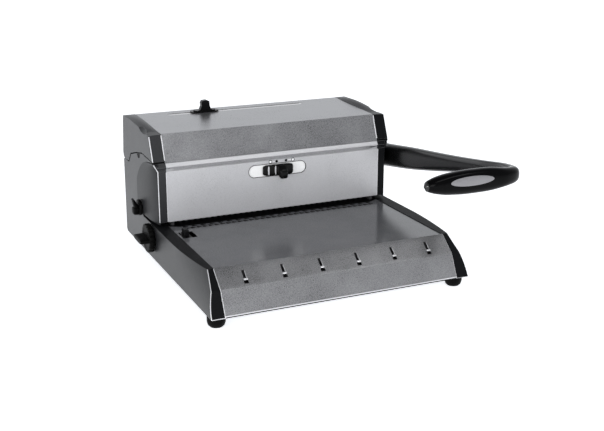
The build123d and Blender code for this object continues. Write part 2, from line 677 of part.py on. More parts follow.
def margin_drive():
    """Side knob with a helical groove on its spindle, and the edge guide that the groove moves."""
    y = MARGIN_SHAFT_Y
    z = MARGIN_SHAFT_Z
    spindle_end = -DRAWER_HALF - 3.5
    spindle = rod(-BASE_CAP_FOOT_HALF - 8, spindle_end, y, z, MARGIN_SHAFT_R)
    height = GUIDE_TRAVEL + 5
    depth = 2.2
    start_x = GUIDE_PIN_X - 2.5
    path = Helix(MARGIN_LEAD, height, MARGIN_SHAFT_R)
    tip = path @ 0
    section = Plane(tip, x_dir=(1, 0, 0), z_dir=path % 0)
    section *= Rectangle(2 * depth, 2 * (GUIDE_PIN_R + SLIDE_GAP))
    thread = sweep(section, path=path, is_frenet=True)
    turn_at_pin = 360 * (GUIDE_PIN_X - start_x) / MARGIN_LEAD
    thread = Pos(start_x, y, z) * Rot(-90 - turn_at_pin, 0, 0) * Rot(0, 90, 0) * thread
    spindle -= thread
    knob_x = -BASE_CAP_FOOT_HALF - 1.0
    disc = rod(knob_x - 8, knob_x, y, z, MARGIN_KNOB_R)
    disc = fillet(disc.edges().filter_by(GeomType.CIRCLE), 1.0)
    notch_ring = MARGIN_KNOB_R + 1
    for index in range(KNOB_NOTCHES):
        angle = 2 * math.pi * index / KNOB_NOTCHES
        notch_y = y + notch_ring * math.cos(angle)
        notch_z = z + notch_ring * math.sin(angle)
        disc -= bore(knob_x - 8, knob_x, notch_y, notch_z, 2.0)
    wing_outline = [(-17, -4), (17, -4), (19, 0), (17, 4), (-17, 4), (-19, 0)]
    wing = prism([(y + u, z + v) for u, v in wing_outline], knob_x - 20, knob_x - 8)
    knob = disc + wing - rod(-BASE_CAP_FOOT_HALF - 8, knob_x + 1, y, z, MARGIN_SHAFT_R)
    return {"margin_spindle": spindle, "margin_knob": knob}


def edge_guide():
    """Upright paper fence on a carriage under the tray, driven by a pin in the spindle groove."""
    x0 = GUIDE_WINDOW_X[0] + 1
    top = TRAY_Z - SHEET - SLIDE_GAP
    rod_y = GUIDE_ROD_Y
    carriage = slab(x0, x0 + 13, GUIDE_WINDOW_Y[0] + 3, GUIDE_WINDOW_Y[1] - 3, GUIDE_ROD_Z - 7, top)
    fence = slab(x0 + 3, x0 + 8.5, rod_y - 7.5, rod_y + 7.5, top - 1, TRAY_Z + FENCE_HEIGHT)
    fence = fillet(fence.edges().filter_by(Axis.X).group_by(Axis.Z)[-1], 2.5)
    arm_x0 = GUIDE_PIN_X - 3
    arm_x1 = GUIDE_PIN_X + 3
    arm_end = MARGIN_SHAFT_Y - MARGIN_SHAFT_R - 2 * SLIDE_GAP
    arm = slab(arm_x0, arm_x1, rod_y, arm_end, MARGIN_SHAFT_Z - 4, MARGIN_SHAFT_Z + 4)
    pin_depth = 1.8
    pin_length = 2 * SLIDE_GAP + pin_depth
    pin = Pos(GUIDE_PIN_X, arm_end + pin_length / 2, MARGIN_SHAFT_Z) * Rot(90, 0, 0)
    pin = pin * Cylinder(GUIDE_PIN_R, pin_length)
    guide = carriage + fence + arm + pin
    guide -= bore(x0, x0 + 13, rod_y, GUIDE_ROD_Z, GUIDE_ROD_R + RUNNING_GAP)
    bar = rod(-PANEL_HALF + 3, GUIDE_WINDOW_X[1] + 12, rod_y, GUIDE_ROD_Z, GUIDE_ROD_R)
    return {"edge_guide": guide, "edge_guide_rod": bar}


def base_profile():
    """Side outline of the base, from the sloping front rail to the body's rear legs."""
    top = TRAY_Z + RIDGE_HEIGHT
    return [
        (LEG_FRONT_Y - PARTING_GAP, FOOT_HEIGHT), (LEG_FRONT_Y - PARTING_GAP, top), (TRAY_FRONT_Y, top),
        RAIL_CREASE, (RAIL_TOE_Y, FOOT_HEIGHT),
    ]


def base_cap_section(z, share, inset):
    """Level section of a base casing: its side bends in towards the nose by a share of the flare."""
    rear = LEG_FRONT_Y
    front = RAIL_TOE_Y - 2
    inner_x = PANEL_HALF - CAP_WIDTH / 2
    foot_x = BASE_CAP_FOOT_HALF - inset
    nose_x = foot_x - share * BASE_FLARE
    sides = Polyline((nose_x, front), (inner_x, front), (inner_x, rear), (foot_x, rear),
                     (foot_x, BASE_FLARE_Y))
    bend = Bezier((foot_x, BASE_FLARE_Y), (foot_x, (BASE_FLARE_Y + front) / 2), (nose_x, front))
    return Pos(0, 0, z) * make_face([sides, bend])


def base_cap_block(inset):
    """Side block of the base, drawn in by an inset: straight at the foot, bent in at the top."""
    top = TRAY_Z + RIDGE_HEIGHT
    levels = ((FOOT_HEIGHT, 0.0), ((FOOT_HEIGHT + top) / 2, 0.25), (top, 1.0))
    return loft([base_cap_section(z, share, inset) for z, share in levels])


def base_caps():
    """Base side casings, shells open towards the pan; the left one passes the margin spindle."""
    outline = make_face(Polyline(*base_profile(), close=True))
    solid = base_cap_block(0) & along_x(Plane.YZ * outline, PANEL_HALF, BASE_CAP_FOOT_HALF + 1)
    pocket = base_cap_block(CAP_WALL) & inset_pocket(outline, PANEL_HALF, BASE_CAP_FOOT_HALF)
    right = cut_all(solid - pocket, foot_screw_holes(FRONT_FOOT)[1:])
    left = mirror(right, about=Plane.YZ)
    left -= bore(-BASE_CAP_FOOT_HALF, -PANEL_HALF, MARGIN_SHAFT_Y, MARGIN_SHAFT_Z, MARGIN_SHAFT_R + 0.6)
    return {"right_base_cap": right, "left_base_cap": left}


def base_pan():
    """Folded bottom pan whose side walls carry the tray."""
    front = TRAY_FRONT_Y + 1
    rear = REAR_SHEET_Y
    side = PANEL_HALF - 1.8
    top = TRAY_Z - SHEET
    section = Polyline(
        (-side, FOOT_HEIGHT), (side, FOOT_HEIGHT), (side, top), (side - SHEET, top),
        (side - SHEET, PAN_FLOOR_Z), (-side + SHEET, PAN_FLOOR_Z), (-side + SHEET, top), (-side, top),
        close=True)
    pan = extrude(Plane.XZ.offset(-front) * make_face(section), amount=rear - front, dir=(0, 1, 0))
    pan -= bore(-side, -side + SHEET, MARGIN_SHAFT_Y, MARGIN_SHAFT_Z, MARGIN_SHAFT_R + RUNNING_GAP)
    pan -= bore(-side, -side + SHEET, GUIDE_ROD_Y, GUIDE_ROD_Z, GUIDE_ROD_R)
    for hole in foot_screw_holes(REAR_FOOT):
        pan -= hole
    return {"base_pan": pan}


def tray_plate():
    """Paper tray with two rows of gauge holes and the window for the edge guide."""
    z0 = TRAY_Z - SHEET
    tray = slab(-PANEL_HALF, PANEL_HALF, TRAY_FRONT_Y + 1, 3.6, z0, TRAY_Z)
    tray += slab(-FRAME_INNER + 0.2, FRAME_INNER - 0.2, 3, DIE_FRONT_Y, z0, TRAY_Z)
    tools = [slab(*GUIDE_WINDOW_X, *GUIDE_WINDOW_Y, z0, TRAY_Z)]
    rows = [(FINE_COUNT, FINE_PITCH, FINE_GAUGE), (COARSE_COUNT, COARSE_PITCH, COARSE_GAUGE)]
    for count, pitch, (y, width, half_depth) in rows:
        for x in row_places(count, pitch):
            tools.append(slab(x - width / 2, x + width / 2, y - half_depth, y + half_depth, z0, TRAY_Z))
    return {"tray_plate": cut_all(tray, tools)}


def rail_plane(x):
    """Local frame on the rail's upper facet: along it downhill is -Y, out of it is +Z."""
    top_y, top_z = TRAY_FRONT_Y, TRAY_Z + RIDGE_HEIGHT
    dy = RAIL_CREASE[0] - top_y
    dz = RAIL_CREASE[1] - top_z
    length = math.hypot(dy, dz)
    normal = (0, dz / length, -dy / length)
    middle = (x, (top_y + RAIL_CREASE[0]) / 2, (top_z + RAIL_CREASE[1]) / 2)
    return Plane(middle, x_dir=(1, 0, 0), z_dir=normal)


def front_rail():
    """Hollow sloping front rail with six slots, and the chromed hooks that stand at their ends."""
    top = TRAY_Z + RIDGE_HEIGHT
    outline = make_face(Polyline(
        (TRAY_FRONT_Y + 1, FOOT_HEIGHT), (TRAY_FRONT_Y + 1, top), (TRAY_FRONT_Y, top),
        RAIL_CREASE, (RAIL_TOE_Y, FOOT_HEIGHT), close=True))
    inner = offset(outline, -RAIL_WALL, kind=Kind.INTERSECTION)
    rail = along_x(Plane.YZ * outline, -PANEL_HALF, PANEL_HALF)
    rail -= along_x(Plane.YZ * inner, -PANEL_HALF, PANEL_HALF)
    hooks = []
    slots = []
    slot_width, slot_length = HOOK_SLOT
    slot_foot = HOOK_SLOT_END - slot_length
    hole_width, hole_length = HOOK_HOLE
    shank_top = slot_foot - HOOK_GAP
    shank_foot = shank_top - HOOK_THICK
    seat_top = -RAIL_WALL
    tongue = [
        (shank_foot, seat_top), (shank_foot, HOOK_RISE), (shank_foot + HOOK_REACH, HOOK_RISE),
        (shank_foot + HOOK_REACH, HOOK_RISE - HOOK_THICK), (shank_top, HOOK_RISE - HOOK_THICK),
        (shank_top, seat_top),
    ]
    for index in range(HOOK_COUNT):
        x = ROW_CENTRE_X - 1.3 + (index - (HOOK_COUNT - 1) / 2) * HOOK_PITCH
        plane = rail_plane(x)
        slot = Pos(0, HOOK_SLOT_END - slot_length / 2, 0) * Box(slot_width, slot_length, 4 * RAIL_WALL)
        hole = Pos(0, slot_foot - hole_length / 2, 0) * Box(hole_width, hole_length, 4 * RAIL_WALL)
        slots.append(plane * slot)
        slots.append(plane * hole)
        strip = extrude(Plane.YZ * make_face(Polyline(*tongue, close=True)),
                        amount=hole_width / 2 - HOOK_GAP, both=True)
        seat = Pos(0, (shank_top + shank_foot) / 2, seat_top - HOOK_SEAT[2] / 2) * Box(*HOOK_SEAT)
        hooks.append(plane * (seat + strip))
    return {"front_rail": cut_all(rail, slots), "wire_hooks": Compound(hooks)}


def foot_screw_holes(place):
    """Holes for the screws of the left and right foot at one (x, y) place."""
    x, y = place
    return [Pos(side * x, y, FOOT_HEIGHT) * Cylinder(FOOT_SCREW_R, 10) for side in (-1, 1)]


def feet():
    """Four rubber feet and the screws that hold them."""
    feet_solids = []
    screws = []
    for x, y in (FRONT_FOOT, REAR_FOOT):
        for side in (-1, 1):
            place = Pos(side * x, y, 0)
            profile = Polyline(
                (0, 0), (FOOT_R - FOOT_TAPER, 0), (FOOT_R - FOOT_TAPER / 3, FOOT_TAPER * 0.7),
                (FOOT_R, 2 * FOOT_TAPER), (FOOT_R, FOOT_HEIGHT), (0, FOOT_HEIGHT), close=True)
            foot = revolve(Plane.XZ * make_face(profile), axis=Axis.Z)
            foot -= Cylinder(FOOT_HEAD_R + 0.9, 12)
            foot -= Cylinder(FOOT_SCREW_R, 40)
            feet_solids.append(place * foot)
            head = Pos(0, 0, 4.6) * Cylinder(FOOT_HEAD_R, 2.8)
            shank = Pos(0, 0, 12.5) * Cylinder(FOOT_SCREW_R, 15)
            screws.append(place * (head + shank))
    return {"rubber_feet": Compound(feet_solids), "foot_screws": Compound(screws)}


def chip_drawer():
    """Open-topped drawer under the die that pulls out at the rear, with a finger lip."""
    z0 = PAN_FLOOR_Z + SLIDE_GAP
    front = DRAWER_FRONT_Y
    rear = REAR_SHEET_Y
    wall = DRAWER_WALL
    box = slab(-DRAWER_HALF, DRAWER_HALF, front, rear, z0, DRAWER_TOP_Z)
    box -= slab(-DRAWER_HALF + wall, DRAWER_HALF - wall, front + wall, rear - wall,
                z0 + wall, DRAWER_TOP_Z + 1)
    panel = slab(-DRAWER_HALF - 4, DRAWER_HALF + 4, rear, rear + 4, z0, DRAWER_TOP_Z + 0.6)
    grip = Pos(0, rear + 4, z0 + 18) * Rot(90, 0, 0) * SlotOverall(70, 14)
    panel -= extrude(grip, amount=2.6)
    return {"chip_drawer": box + panel}


def top_panel_plane(y):
    """Frame lying on the nearly flat top panel at depth y; +Z is out of the panel."""
    rise = (REAR_TOP_Z - SLOPE_TOP_Z) / (REAR_TOP_Y - SLOPE_TOP_Y)
    tilt = math.atan(rise)
    z = SLOPE_TOP_Z + (y - SLOPE_TOP_Y) * rise
    return Plane((0, y, z), x_dir=(1, 0, 0), z_dir=(0, -math.sin(tilt), math.cos(tilt)))


def cover_panel():
    """Folded cover sheet: steep front slope, top with the scale slot, rear wall to the hinge."""
    fold = top_panel_plane(REAR_TOP_Y - 4).origin
    rear_fold = (fold.Y, fold.Z)
    outline = make_face(Polyline(
        (0, SLOPE_FOOT_Z), (SLOPE_TOP_Y, SLOPE_TOP_Z), rear_fold,
        (REAR_TOP_Y, REAR_TOP_Z - 3.5), (PARTING_REAR_Y - 0.8, HINGE_Z),
        (PARTING_REAR_Y + 1, 110), (0, 110), close=True))
    inner = offset(outline, -SHEET, kind=Kind.INTERSECTION)
    shell = along_x(Plane.YZ * outline, -PANEL_HALF, PANEL_HALF)
    shell -= along_x(Plane.YZ * inner, -PANEL_HALF, PANEL_HALF)
    shell -= slab(-PANEL_HALF, PANEL_HALF, 60, PARTING_REAR_Y + 4, 105, HINGE_Z)
    shell -= slab(-PANEL_HALF, PANEL_HALF, -5, 60, 105, PANEL_TOP_Z + SLIDE_GAP)
    plane = top_panel_plane(TOP_SLOT_Y)
    length = TOP_SLOT_X[1] - TOP_SLOT_X[0]
    middle = sum(TOP_SLOT_X) / 2
    slot = plane * Pos(middle, 0, 0) * SlotOverall(length, TOP_SLOT_WIDTH)
    shell -= extrude(slot, amount=3, both=True)
    plate = plane * Pos(middle, 0, -SHEET - SCALE_THICK / 2)
    plate *= Box(length + 14, TOP_SLOT_WIDTH + 8, SCALE_THICK)
    rib_face = SlotOverall(length - 2 * SLIDE_GAP, TOP_SLOT_WIDTH - 2 * SLIDE_GAP)
    plate += plane * Pos(middle, 0, -SHEET) * extrude(rib_face, amount=SHEET - TOP_SCALE_SUNK)
    stem_slot = plane * Pos(middle, TOP_STEM_BACK, -SHEET)
    stem_slot *= SlotOverall(length - 4, TOP_STEM_THICK + 2 * SLIDE_GAP)
    plate -= extrude(stem_slot, amount=4, both=True)
    return {"cover_panel": shell, "top_scale_plate": plate}


def cover_cap_face(x, crown, shoulder):
    """Side outline of a cover end cap at one station, with its crown and shoulder height."""
    rear_top = (REAR_TOP_Y - 1, REAR_TOP_Z - 0.6)
    crown_end = (34, SLOPE_TOP_Z + shoulder)
    sides = Polyline(
        crown_end, (SLOPE_TOP_Y, SLOPE_TOP_Z + shoulder - 0.5), (BAND_TOP_Y - 0.4, PANEL_TOP_Z - 0.6),
        (30, 118), (HINGE_Y, 118), (PARTING_REAR_Y, 118), (PARTING_REAR_Y, HINGE_Z), rear_top)
    crest = ThreePointArc(rear_top, (94, REAR_TOP_Z + crown - 2), crown_end)
    return Plane.YZ.offset(x) * make_face([sides, crest])


def thumb_scoop():
    """Ball that hollows the outer top edge of a cover cap: a hold for lifting the cover."""
    half = SCOOP_LENGTH / 2
    edge_r = (half**2 + SCOOP_DROP**2) / (2 * SCOOP_DROP)
    edge_z = SLOPE_TOP_Z + CROWN_EDGE
    reach_square = edge_r**2 - (edge_r - SCOOP_DROP)**2
    offset_x = (reach_square - SCOOP_REACH**2) / (2 * SCOOP_REACH)
    ball = Sphere(math.hypot(offset_x, edge_r))
    return Pos(COVER_CAP_HALF + offset_x, SCOOP_Y, edge_z - SCOOP_DROP + edge_r) * ball


def cover_caps():
    """Cover end caps: crowned shells, cut to the parting line and rounded about the hinge."""
    ridge_x = PANEL_HALF + 0.42 * CAP_WIDTH
    stations = ((PANEL_HALF, CROWN_EDGE, 0), (ridge_x, CROWN_HEIGHT, 0), (COVER_CAP_HALF, CROWN_EDGE, -0.8))
    solid = loft([cover_cap_face(*station) for station in stations])
    solid -= parting_cutter(PANEL_HALF, COVER_CAP_HALF)
    solid -= thumb_scoop()
    corner = slab(PANEL_HALF, COVER_CAP_HALF, HINGE_Y, PARTING_REAR_Y + 1, PARTING_REAR_Z - 9, HINGE_Z)
    corner -= rod(PANEL_HALF, COVER_CAP_HALF, HINGE_Y, HINGE_Z, HINGE_KNUCKLE_R)
    solid -= corner
    wall_face = cover_cap_face(PANEL_HALF, 0.6, -2)
    pocket = offset(Plane.YZ.offset(PANEL_HALF).to_local_coords(wall_face), -CAP_WALL, kind=Kind.INTERSECTION)
    pocket = extrude(Plane.YZ.offset(PANEL_HALF) * pocket, amount=COVER_CAP_HALF - CAP_WALL - PANEL_HALF,
                     dir=(1, 0, 0))
    keep = offset(make_face(Polyline(*lower_outline(), close=True)), COVER_GAP + CAP_WALL,
                  kind=Kind.INTERSECTION)
    pocket -= along_x(Plane.YZ * keep, PANEL_HALF, COVER_CAP_HALF)
    pocket -= rod(PANEL_HALF, COVER_CAP_HALF, HINGE_Y, HINGE_Z, HINGE_KNUCKLE_R)
    solid -= pocket
    boss = rod(FRAME_OUTER + PARTING_GAP, COVER_CAP_HALF - CAP_WALL, HINGE_Y, HINGE_Z, HINGE_LUG_R)
    solid += boss
    solid -= rod(FRAME_OUTER - 1, HINGE_PIN_END + SLIDE_GAP, HINGE_Y, HINGE_Z, HINGE_PIN_R + RUNNING_GAP)
    return {"right_cover_cap": solid, "left_cover_cap": mirror(solid, about=Plane.YZ)}


def hinge_pins():
    """Two headed pins fixed in the frame lugs; the cover turns on their outer ends."""
    pin = rod(FRAME_INNER, HINGE_PIN_END, HINGE_Y, HINGE_Z, HINGE_PIN_R)
    pin += rod(FRAME_INNER - 2, FRAME_INNER, HINGE_Y, HINGE_Z, HINGE_PIN_R + 1.8)
    return {"cover_hinge_pins": pair(pin)}


def top_slider():
    """Wire-size slider on the cover: stepped base, waisted thumb post, clip under the sheet."""
    plane = top_panel_plane(TOP_SLOT_Y)
    half = TOP_SLIDER_WIDTH / 2
    x = TOP_SLIDER_X
    base = extrude(plane * Pos(x, 0, SLIDE_GAP) * SlotOverall(2 * half, 14), amount=1.6)
    base += extrude(plane * Pos(x, 0, SLIDE_GAP + 1.6) * SlotOverall(2 * half - 10, 11), amount=1.6)
    outline = [(-12, 2.8), (-7, 4.2), (-5, 9), (-5.5, 13.5), (-3.5, 16.8), (3.0, 17.4), (7.0, 15.5),
               (7.4, 9), (9, 4.2), (13, 2.8)]
    side_plane = Plane(plane.origin, x_dir=(1, 0, 0), z_dir=(0, -1, 0))
    post = make_face(Polyline(*outline, close=True))
    post = extrude(side_plane * Pos(x, 0, 0) * post, amount=4.0, both=True)
    under = SHEET + SCALE_THICK + SLIDE_GAP
    stem = plane * Pos(x, TOP_STEM_BACK, (SLIDE_GAP + 0.5 - under) / 2)
    stem *= Box(10, TOP_STEM_THICK, SLIDE_GAP + 0.5 + under)
    clip = plane * Pos(x, 0, -under - CLIP_THICK / 2) * Box(24, 11, CLIP_THICK)
    return {"top_slider": base + post + stem, "top_slider_clip": clip}


def arm_stations():
    """Lever centre line from the hub to the grip's tip: place, heading, thickness and height."""
    corner = 24.0
    stations = [
        ((ARM_X, 30, 122.3), (0, -1, 0.14), ARM_THICK, 34.0),
        ((ARM_X, -54, 134.5), (0, -1, 0.15), ARM_THICK, 31.0),
        ((ARM_X, -110, 143.2), (0, -1, 0.16), 19.0, 26.0),
        ((ARM_X, -163, 152.0), (0, -1, 0.16), 17.5, 21.0),
        ((ARM_X, -220, 161.0), (0, -1, 0.14), 16.5, 18.5),
        ((ARM_X, GRIP_Y + corner, 168.6), (0, -1, 0.10), 16.0, 18.5),
        ((ARM_X - corner * 0.29, GRIP_Y + corner * 0.29, GRIP_Z - 0.6), (-1, -1, 0.02), 16.5, 19.5),
        ((ARM_X - corner, GRIP_Y, GRIP_Z), (-1, 0, 0), 19.0, 22.5),
        ((ARM_X - 42, GRIP_Y, GRIP_Z), (-1, 0, 0), GRIP_DEPTH - 1, 27.5),
        ((ARM_X - 64, GRIP_Y, GRIP_Z), (-1, 0, 0), GRIP_DEPTH, GRIP_HEIGHT),
        ((GRIP_TIP_X + 42, GRIP_Y, GRIP_Z), (-1, 0, 0), GRIP_DEPTH - 0.5, 27.5),
        ((GRIP_TIP_X + 20, GRIP_Y, GRIP_Z), (-1, 0, 0), GRIP_DEPTH - 3, 22.0),
        ((GRIP_TIP_X + 6, GRIP_Y, GRIP_Z), (-1, 0, 0), 14.0, 14.0),
        ((GRIP_TIP_X, GRIP_Y, GRIP_Z), (-1, 0, 0), 5.0, 5.0),
    ]
    return stations


def lever():
    """Curved lever arm with its sideways grip, the grip's soft insert and the hub bolt."""
    faces = []
    for place, heading, thick, height in arm_stations():
        direction = Vector(*heading).normalized()
        side = direction.cross(Vector(0, 0, 1)).normalized()
        faces.append(Plane(place, x_dir=side, z_dir=direction) * Ellipse(thick / 2, height / 2))
    arm = loft(faces[:ARM_SECTION_COUNT]) + loft(faces[ARM_SECTION_COUNT - 1:])
    hub = rod(*LEVER_HUB_X, SHAFT_Y, SHAFT_Z, LEVER_HUB_R)
    hub = fillet(hub.edges().filter_by(GeomType.CIRCLE), 3.0)
    neck_faces = []
    for y, z, thick, height in ((SHAFT_Y, SHAFT_Z, ARM_THICK - 1, 35.0), (30, 122.3, ARM_THICK, 34.0)):
        plane = Plane((ARM_X, y, z), x_dir=(-1, 0, 0), z_dir=Vector(0, -1, 0.14).normalized())
        neck_faces.append(plane * Ellipse(thick / 2, height / 2))
    arm += loft(neck_faces, ruled=True) + hub
    arm -= rod(LEVER_HUB_X[0] - 1, LEVER_HUB_X[0] + 12, SHAFT_Y, SHAFT_Z, SHAFT_R)
    bolt = rod(LEVER_HUB_X[1] - 3, LEVER_HUB_X[1] + 1.5, SHAFT_Y, SHAFT_Z, LEVER_BOLT_R)
    bolt = fillet(bolt.edges().group_by(Axis.X)[-1], 1.4)
    arm -= rod(LEVER_HUB_X[1] - 3, LEVER_HUB_X[1] + 2, SHAFT_Y, SHAFT_Z, LEVER_BOLT_R)
    pad = Pos(ARM_X + PAD_OFFSET[0], GRIP_Y - GRIP_DEPTH / 2 + 3.0, GRIP_Z + PAD_OFFSET[1])
    pad *= Rot(90, 0, 0) * Ellipse(PAD_SIZE[0] / 2, PAD_SIZE[1] / 2)
    window = extrude(pad, amount=20)
    insert = arm & window
    return {"lever_arm": arm - window, "grip_insert": insert, "lever_bolt": bolt}


def build_machine():
    """Every sub-part by node name, in the machine frame."""
    parts = {}
    groups = [
        body_caps, cover_buffers, front_panel, front_selector, rear_panel, frame_plates,
        shaft_bushings, tie_bars, punch_block, lever_drive, wire_closer, depth_stop, margin_drive,
        edge_guide, base_caps, base_pan, tray_plate, front_rail, feet, chip_drawer, cover_panel,
        cover_caps, hinge_pins, top_slider, lever,
    ]
    for group in groups:
        parts.update(group())
    return parts


def footprint_shift(parts):
    """Move that puts the origin under the centre of the machine's box, on the table."""
    boxes = [shape.bounding_box() for shape in parts.values()]
    x = (min(b.min.X for b in boxes) + max(b.max.X for b in boxes)) / 2
    y = (min(b.min.Y for b in boxes) + max(b.max.Y for b in boxes)) / 2
    return Vector(-x, -y, 0)


def main():
    """Build all parts and write one file each."""
    os.makedirs("parts", exist_ok=True)
    parts = build_machine()
    shift = footprint_shift(parts)
    for node, shape in parts.items():
        export_step(shape.moved(Location(shift)), f"parts/{node}.step")
    print(f"{len(parts)} parts, shift {shift.X:.3f} {shift.Y:.3f} {shift.Z:.3f}")
    return parts, shift


PARTS, SHIFT = main()
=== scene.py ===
"""Wire binding machine dressed for the photograph.

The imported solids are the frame. Crisp sheet and moulded edges get small rounds, the lever, rail,
sliders, knobs and feet get surfaces of their own, and every finish is a node material worked in
the part's own metres. All sizes typed here are machine millimetres, as in the part's source.
"""

import json
import logging
import math
from dataclasses import dataclass
from enum import Enum

import bmesh
import bpy
import numpy as np
from bpy.types import Material, Node, NodeSocket, NodeTree, Object
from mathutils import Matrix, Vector

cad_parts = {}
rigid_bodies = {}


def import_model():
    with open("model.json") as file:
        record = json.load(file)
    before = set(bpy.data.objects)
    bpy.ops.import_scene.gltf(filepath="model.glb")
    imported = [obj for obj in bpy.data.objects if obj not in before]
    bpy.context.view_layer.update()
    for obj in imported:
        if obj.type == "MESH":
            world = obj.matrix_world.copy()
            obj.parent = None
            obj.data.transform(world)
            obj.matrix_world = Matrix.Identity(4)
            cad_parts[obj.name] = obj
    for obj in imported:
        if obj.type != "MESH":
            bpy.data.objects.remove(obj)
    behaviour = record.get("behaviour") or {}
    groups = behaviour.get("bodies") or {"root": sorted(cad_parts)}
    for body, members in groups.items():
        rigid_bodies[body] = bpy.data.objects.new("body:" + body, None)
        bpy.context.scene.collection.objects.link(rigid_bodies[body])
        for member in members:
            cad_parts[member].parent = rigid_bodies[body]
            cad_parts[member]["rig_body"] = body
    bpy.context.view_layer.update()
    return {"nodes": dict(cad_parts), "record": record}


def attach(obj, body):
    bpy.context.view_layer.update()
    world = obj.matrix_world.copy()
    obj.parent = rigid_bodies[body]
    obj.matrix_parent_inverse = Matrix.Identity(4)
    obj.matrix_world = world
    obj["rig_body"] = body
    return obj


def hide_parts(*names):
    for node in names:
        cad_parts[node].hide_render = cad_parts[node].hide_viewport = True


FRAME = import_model()
MM = 0.001
SHIFT = np.array([-1.55, 77.343, 0.0])  # from the machine's origin to the frame's

Pair = tuple[float, float]
Triple = tuple[float, float, float]
Points = tuple[tuple[float, ...], ...]
Box = tuple[Pair, Pair, Pair]

SIDES = {"left": -1, "right": 1}
NOSE = ((-180.6, 64.4), (-205.0, 45.0), (-220.0, 15.0))  # the base's front as (y, z)
SHEET = 0.8      # wall of the sheets made here
BEND_STEPS = 5   # points in a bend
SHARP = 35.0     # least turn in degrees of a sharp edge
MERGE = 1e-6     # metres within which points are one
FLAT = math.radians(0.6)  # turn within which a CAD node's triangles lie flat

CLOUD = 0.06            # metres, slow variation in colour and gloss
CLOUD_SHARE = 0.25
NOISE_SPAN = (0.32, 0.68)
GLOSS_SPREAD = 0.04
GRIND_STRETCH = (0.03, 1.0, 1.0)

log = logging.getLogger("binder")


def tuned(node: Node, values: dict[str | int, object]) -> Node:
    """Set a node's inputs, or link them where the value is a socket, and return the node."""
    for name, value in values.items():
        if isinstance(value, NodeSocket):
            node.id_data.links.new(value, node.inputs[name])
        else:
            node.inputs[name].default_value = value
    return node


class Pattern(Enum):
    """What the fine relief of a finish looks like."""

    FLAKE = "metallic paint with fine flakes"
    SPARK = "spark-eroded moulding texture"
    GROUND = "ground or drawn metal with lines along X"
    TURNED = "smooth metal or polished plastic"
    SKIN = "soft-touch rubber skin"


@dataclass(frozen=True)
class Finish:
    """One surface finish, made into a node material on object coordinates.

    Attributes:
        name: Name of the material.
        colour: Base colour in linear values.
        metallic: How far the surface is metal.
        roughness: Roughness of the gloss.
        pattern: The kind of fine relief.
        grain: Size of the relief in metres.
        relief: Strength of the bump.
        mottle: Share by which the colour varies.
        specular: Specular level of the base.
    """

    name: str
    colour: Triple
    metallic: float
    roughness: float
    pattern: Pattern
    grain: float
    relief: float
    mottle: float
    specular: float = 0.5

    def material(self) -> Material:
        """Return the node material of this finish, made on its first use."""
        found = bpy.data.materials.get(self.name)
        if found is not None:
            return found
        made = bpy.data.materials.new(self.name)
        made.use_nodes = True
        made.diffuse_color = (*self.colour, 1.0)
        nodes = made.node_tree.nodes
        place = nodes.new("ShaderNodeTexCoord").outputs["Object"]
        fine_place = place
        if self.pattern is Pattern.GROUND:
            stretch = tuned(nodes.new("ShaderNodeMapping"),
                            {"Scale": GRIND_STRETCH, "Vector": place})
            fine_place = stretch.outputs["Vector"]
        fine = self._noise(made.node_tree, fine_place, self.grain, detail=3.0)
        cloud = self._noise(made.node_tree, place, CLOUD, detail=2.0)
        shade = self._blend(made.node_tree, fine, cloud)
        low = tuple(max(0.0, c * (1 - self.mottle)) for c in self.colour)
        high = tuple(min(1.0, c * (1 + self.mottle)) for c in self.colour)
        tint = nodes.new("ShaderNodeMix")
        tint.data_type = "RGBA"
        tuned(tint, {"Factor": shade, "A": (*low, 1), "B": (*high, 1)})
        gloss = tuned(nodes.new("ShaderNodeMapRange"),
                      {"Value": shade if self.pattern is Pattern.FLAKE else cloud,
                       "To Min": max(0.02, self.roughness - GLOSS_SPREAD),
                       "To Max": min(1.0, self.roughness + GLOSS_SPREAD)})
        bump = tuned(nodes.new("ShaderNodeBump"),
                     {"Strength": self.relief, "Distance": self.grain, "Height": fine})
        tuned(nodes["Principled BSDF"],
              {"Base Color": tint.outputs["Result"], "Metallic": self.metallic,
               "Roughness": gloss.outputs["Result"], "Specular IOR Level": self.specular,
               "Normal": bump.outputs["Normal"]})
        return made

    @staticmethod
    def _noise(tree: NodeTree, place: NodeSocket, size: float, detail: float) -> NodeSocket:
        """Add a noise texture of a given feature size and return its factor."""
        node = tuned(tree.nodes.new("ShaderNodeTexNoise"),
                     {"Vector": place, "Scale": 1.0 / size, "Detail": detail, "Roughness": 0.6})
        return node.outputs["Fac"]

    @staticmethod
    def _blend(tree: NodeTree, fine: NodeSocket, cloud: NodeSocket) -> NodeSocket:
        """Mix the fine and the slow noise and return a factor spread over 0 to 1."""
        both = tree.nodes.new("ShaderNodeMix")
        both.data_type = "FLOAT"
        tuned(both, {"Factor": CLOUD_SHARE, "A": fine, "B": cloud})
        spread = tuned(tree.nodes.new("ShaderNodeMapRange"),
                       {"Value": both.outputs["Result"], "From Min": NOISE_SPAN[0],
                        "From Max": NOISE_SPAN[1]})
        return spread.outputs["Result"]


FLAKE, SPARK, GROUND, TURNED, SKIN = Pattern


def paint(name: str, grey: float, metallic: float, mottle: float) -> Finish:
    """Silver flake paint of one grey level, more or less metallic."""
    return Finish(name, (grey, grey, grey * 1.03), metallic, 0.3, FLAKE, 0.0008, 0.05, mottle)


def moulded(name: str, colour: Triple, roughness: float, specular: float) -> Finish:
    """Black spark-eroded moulding; the casings share one texture."""
    return Finish(name, colour, 0.0, roughness, SPARK, 0.0009, 0.12, 0.25, specular)


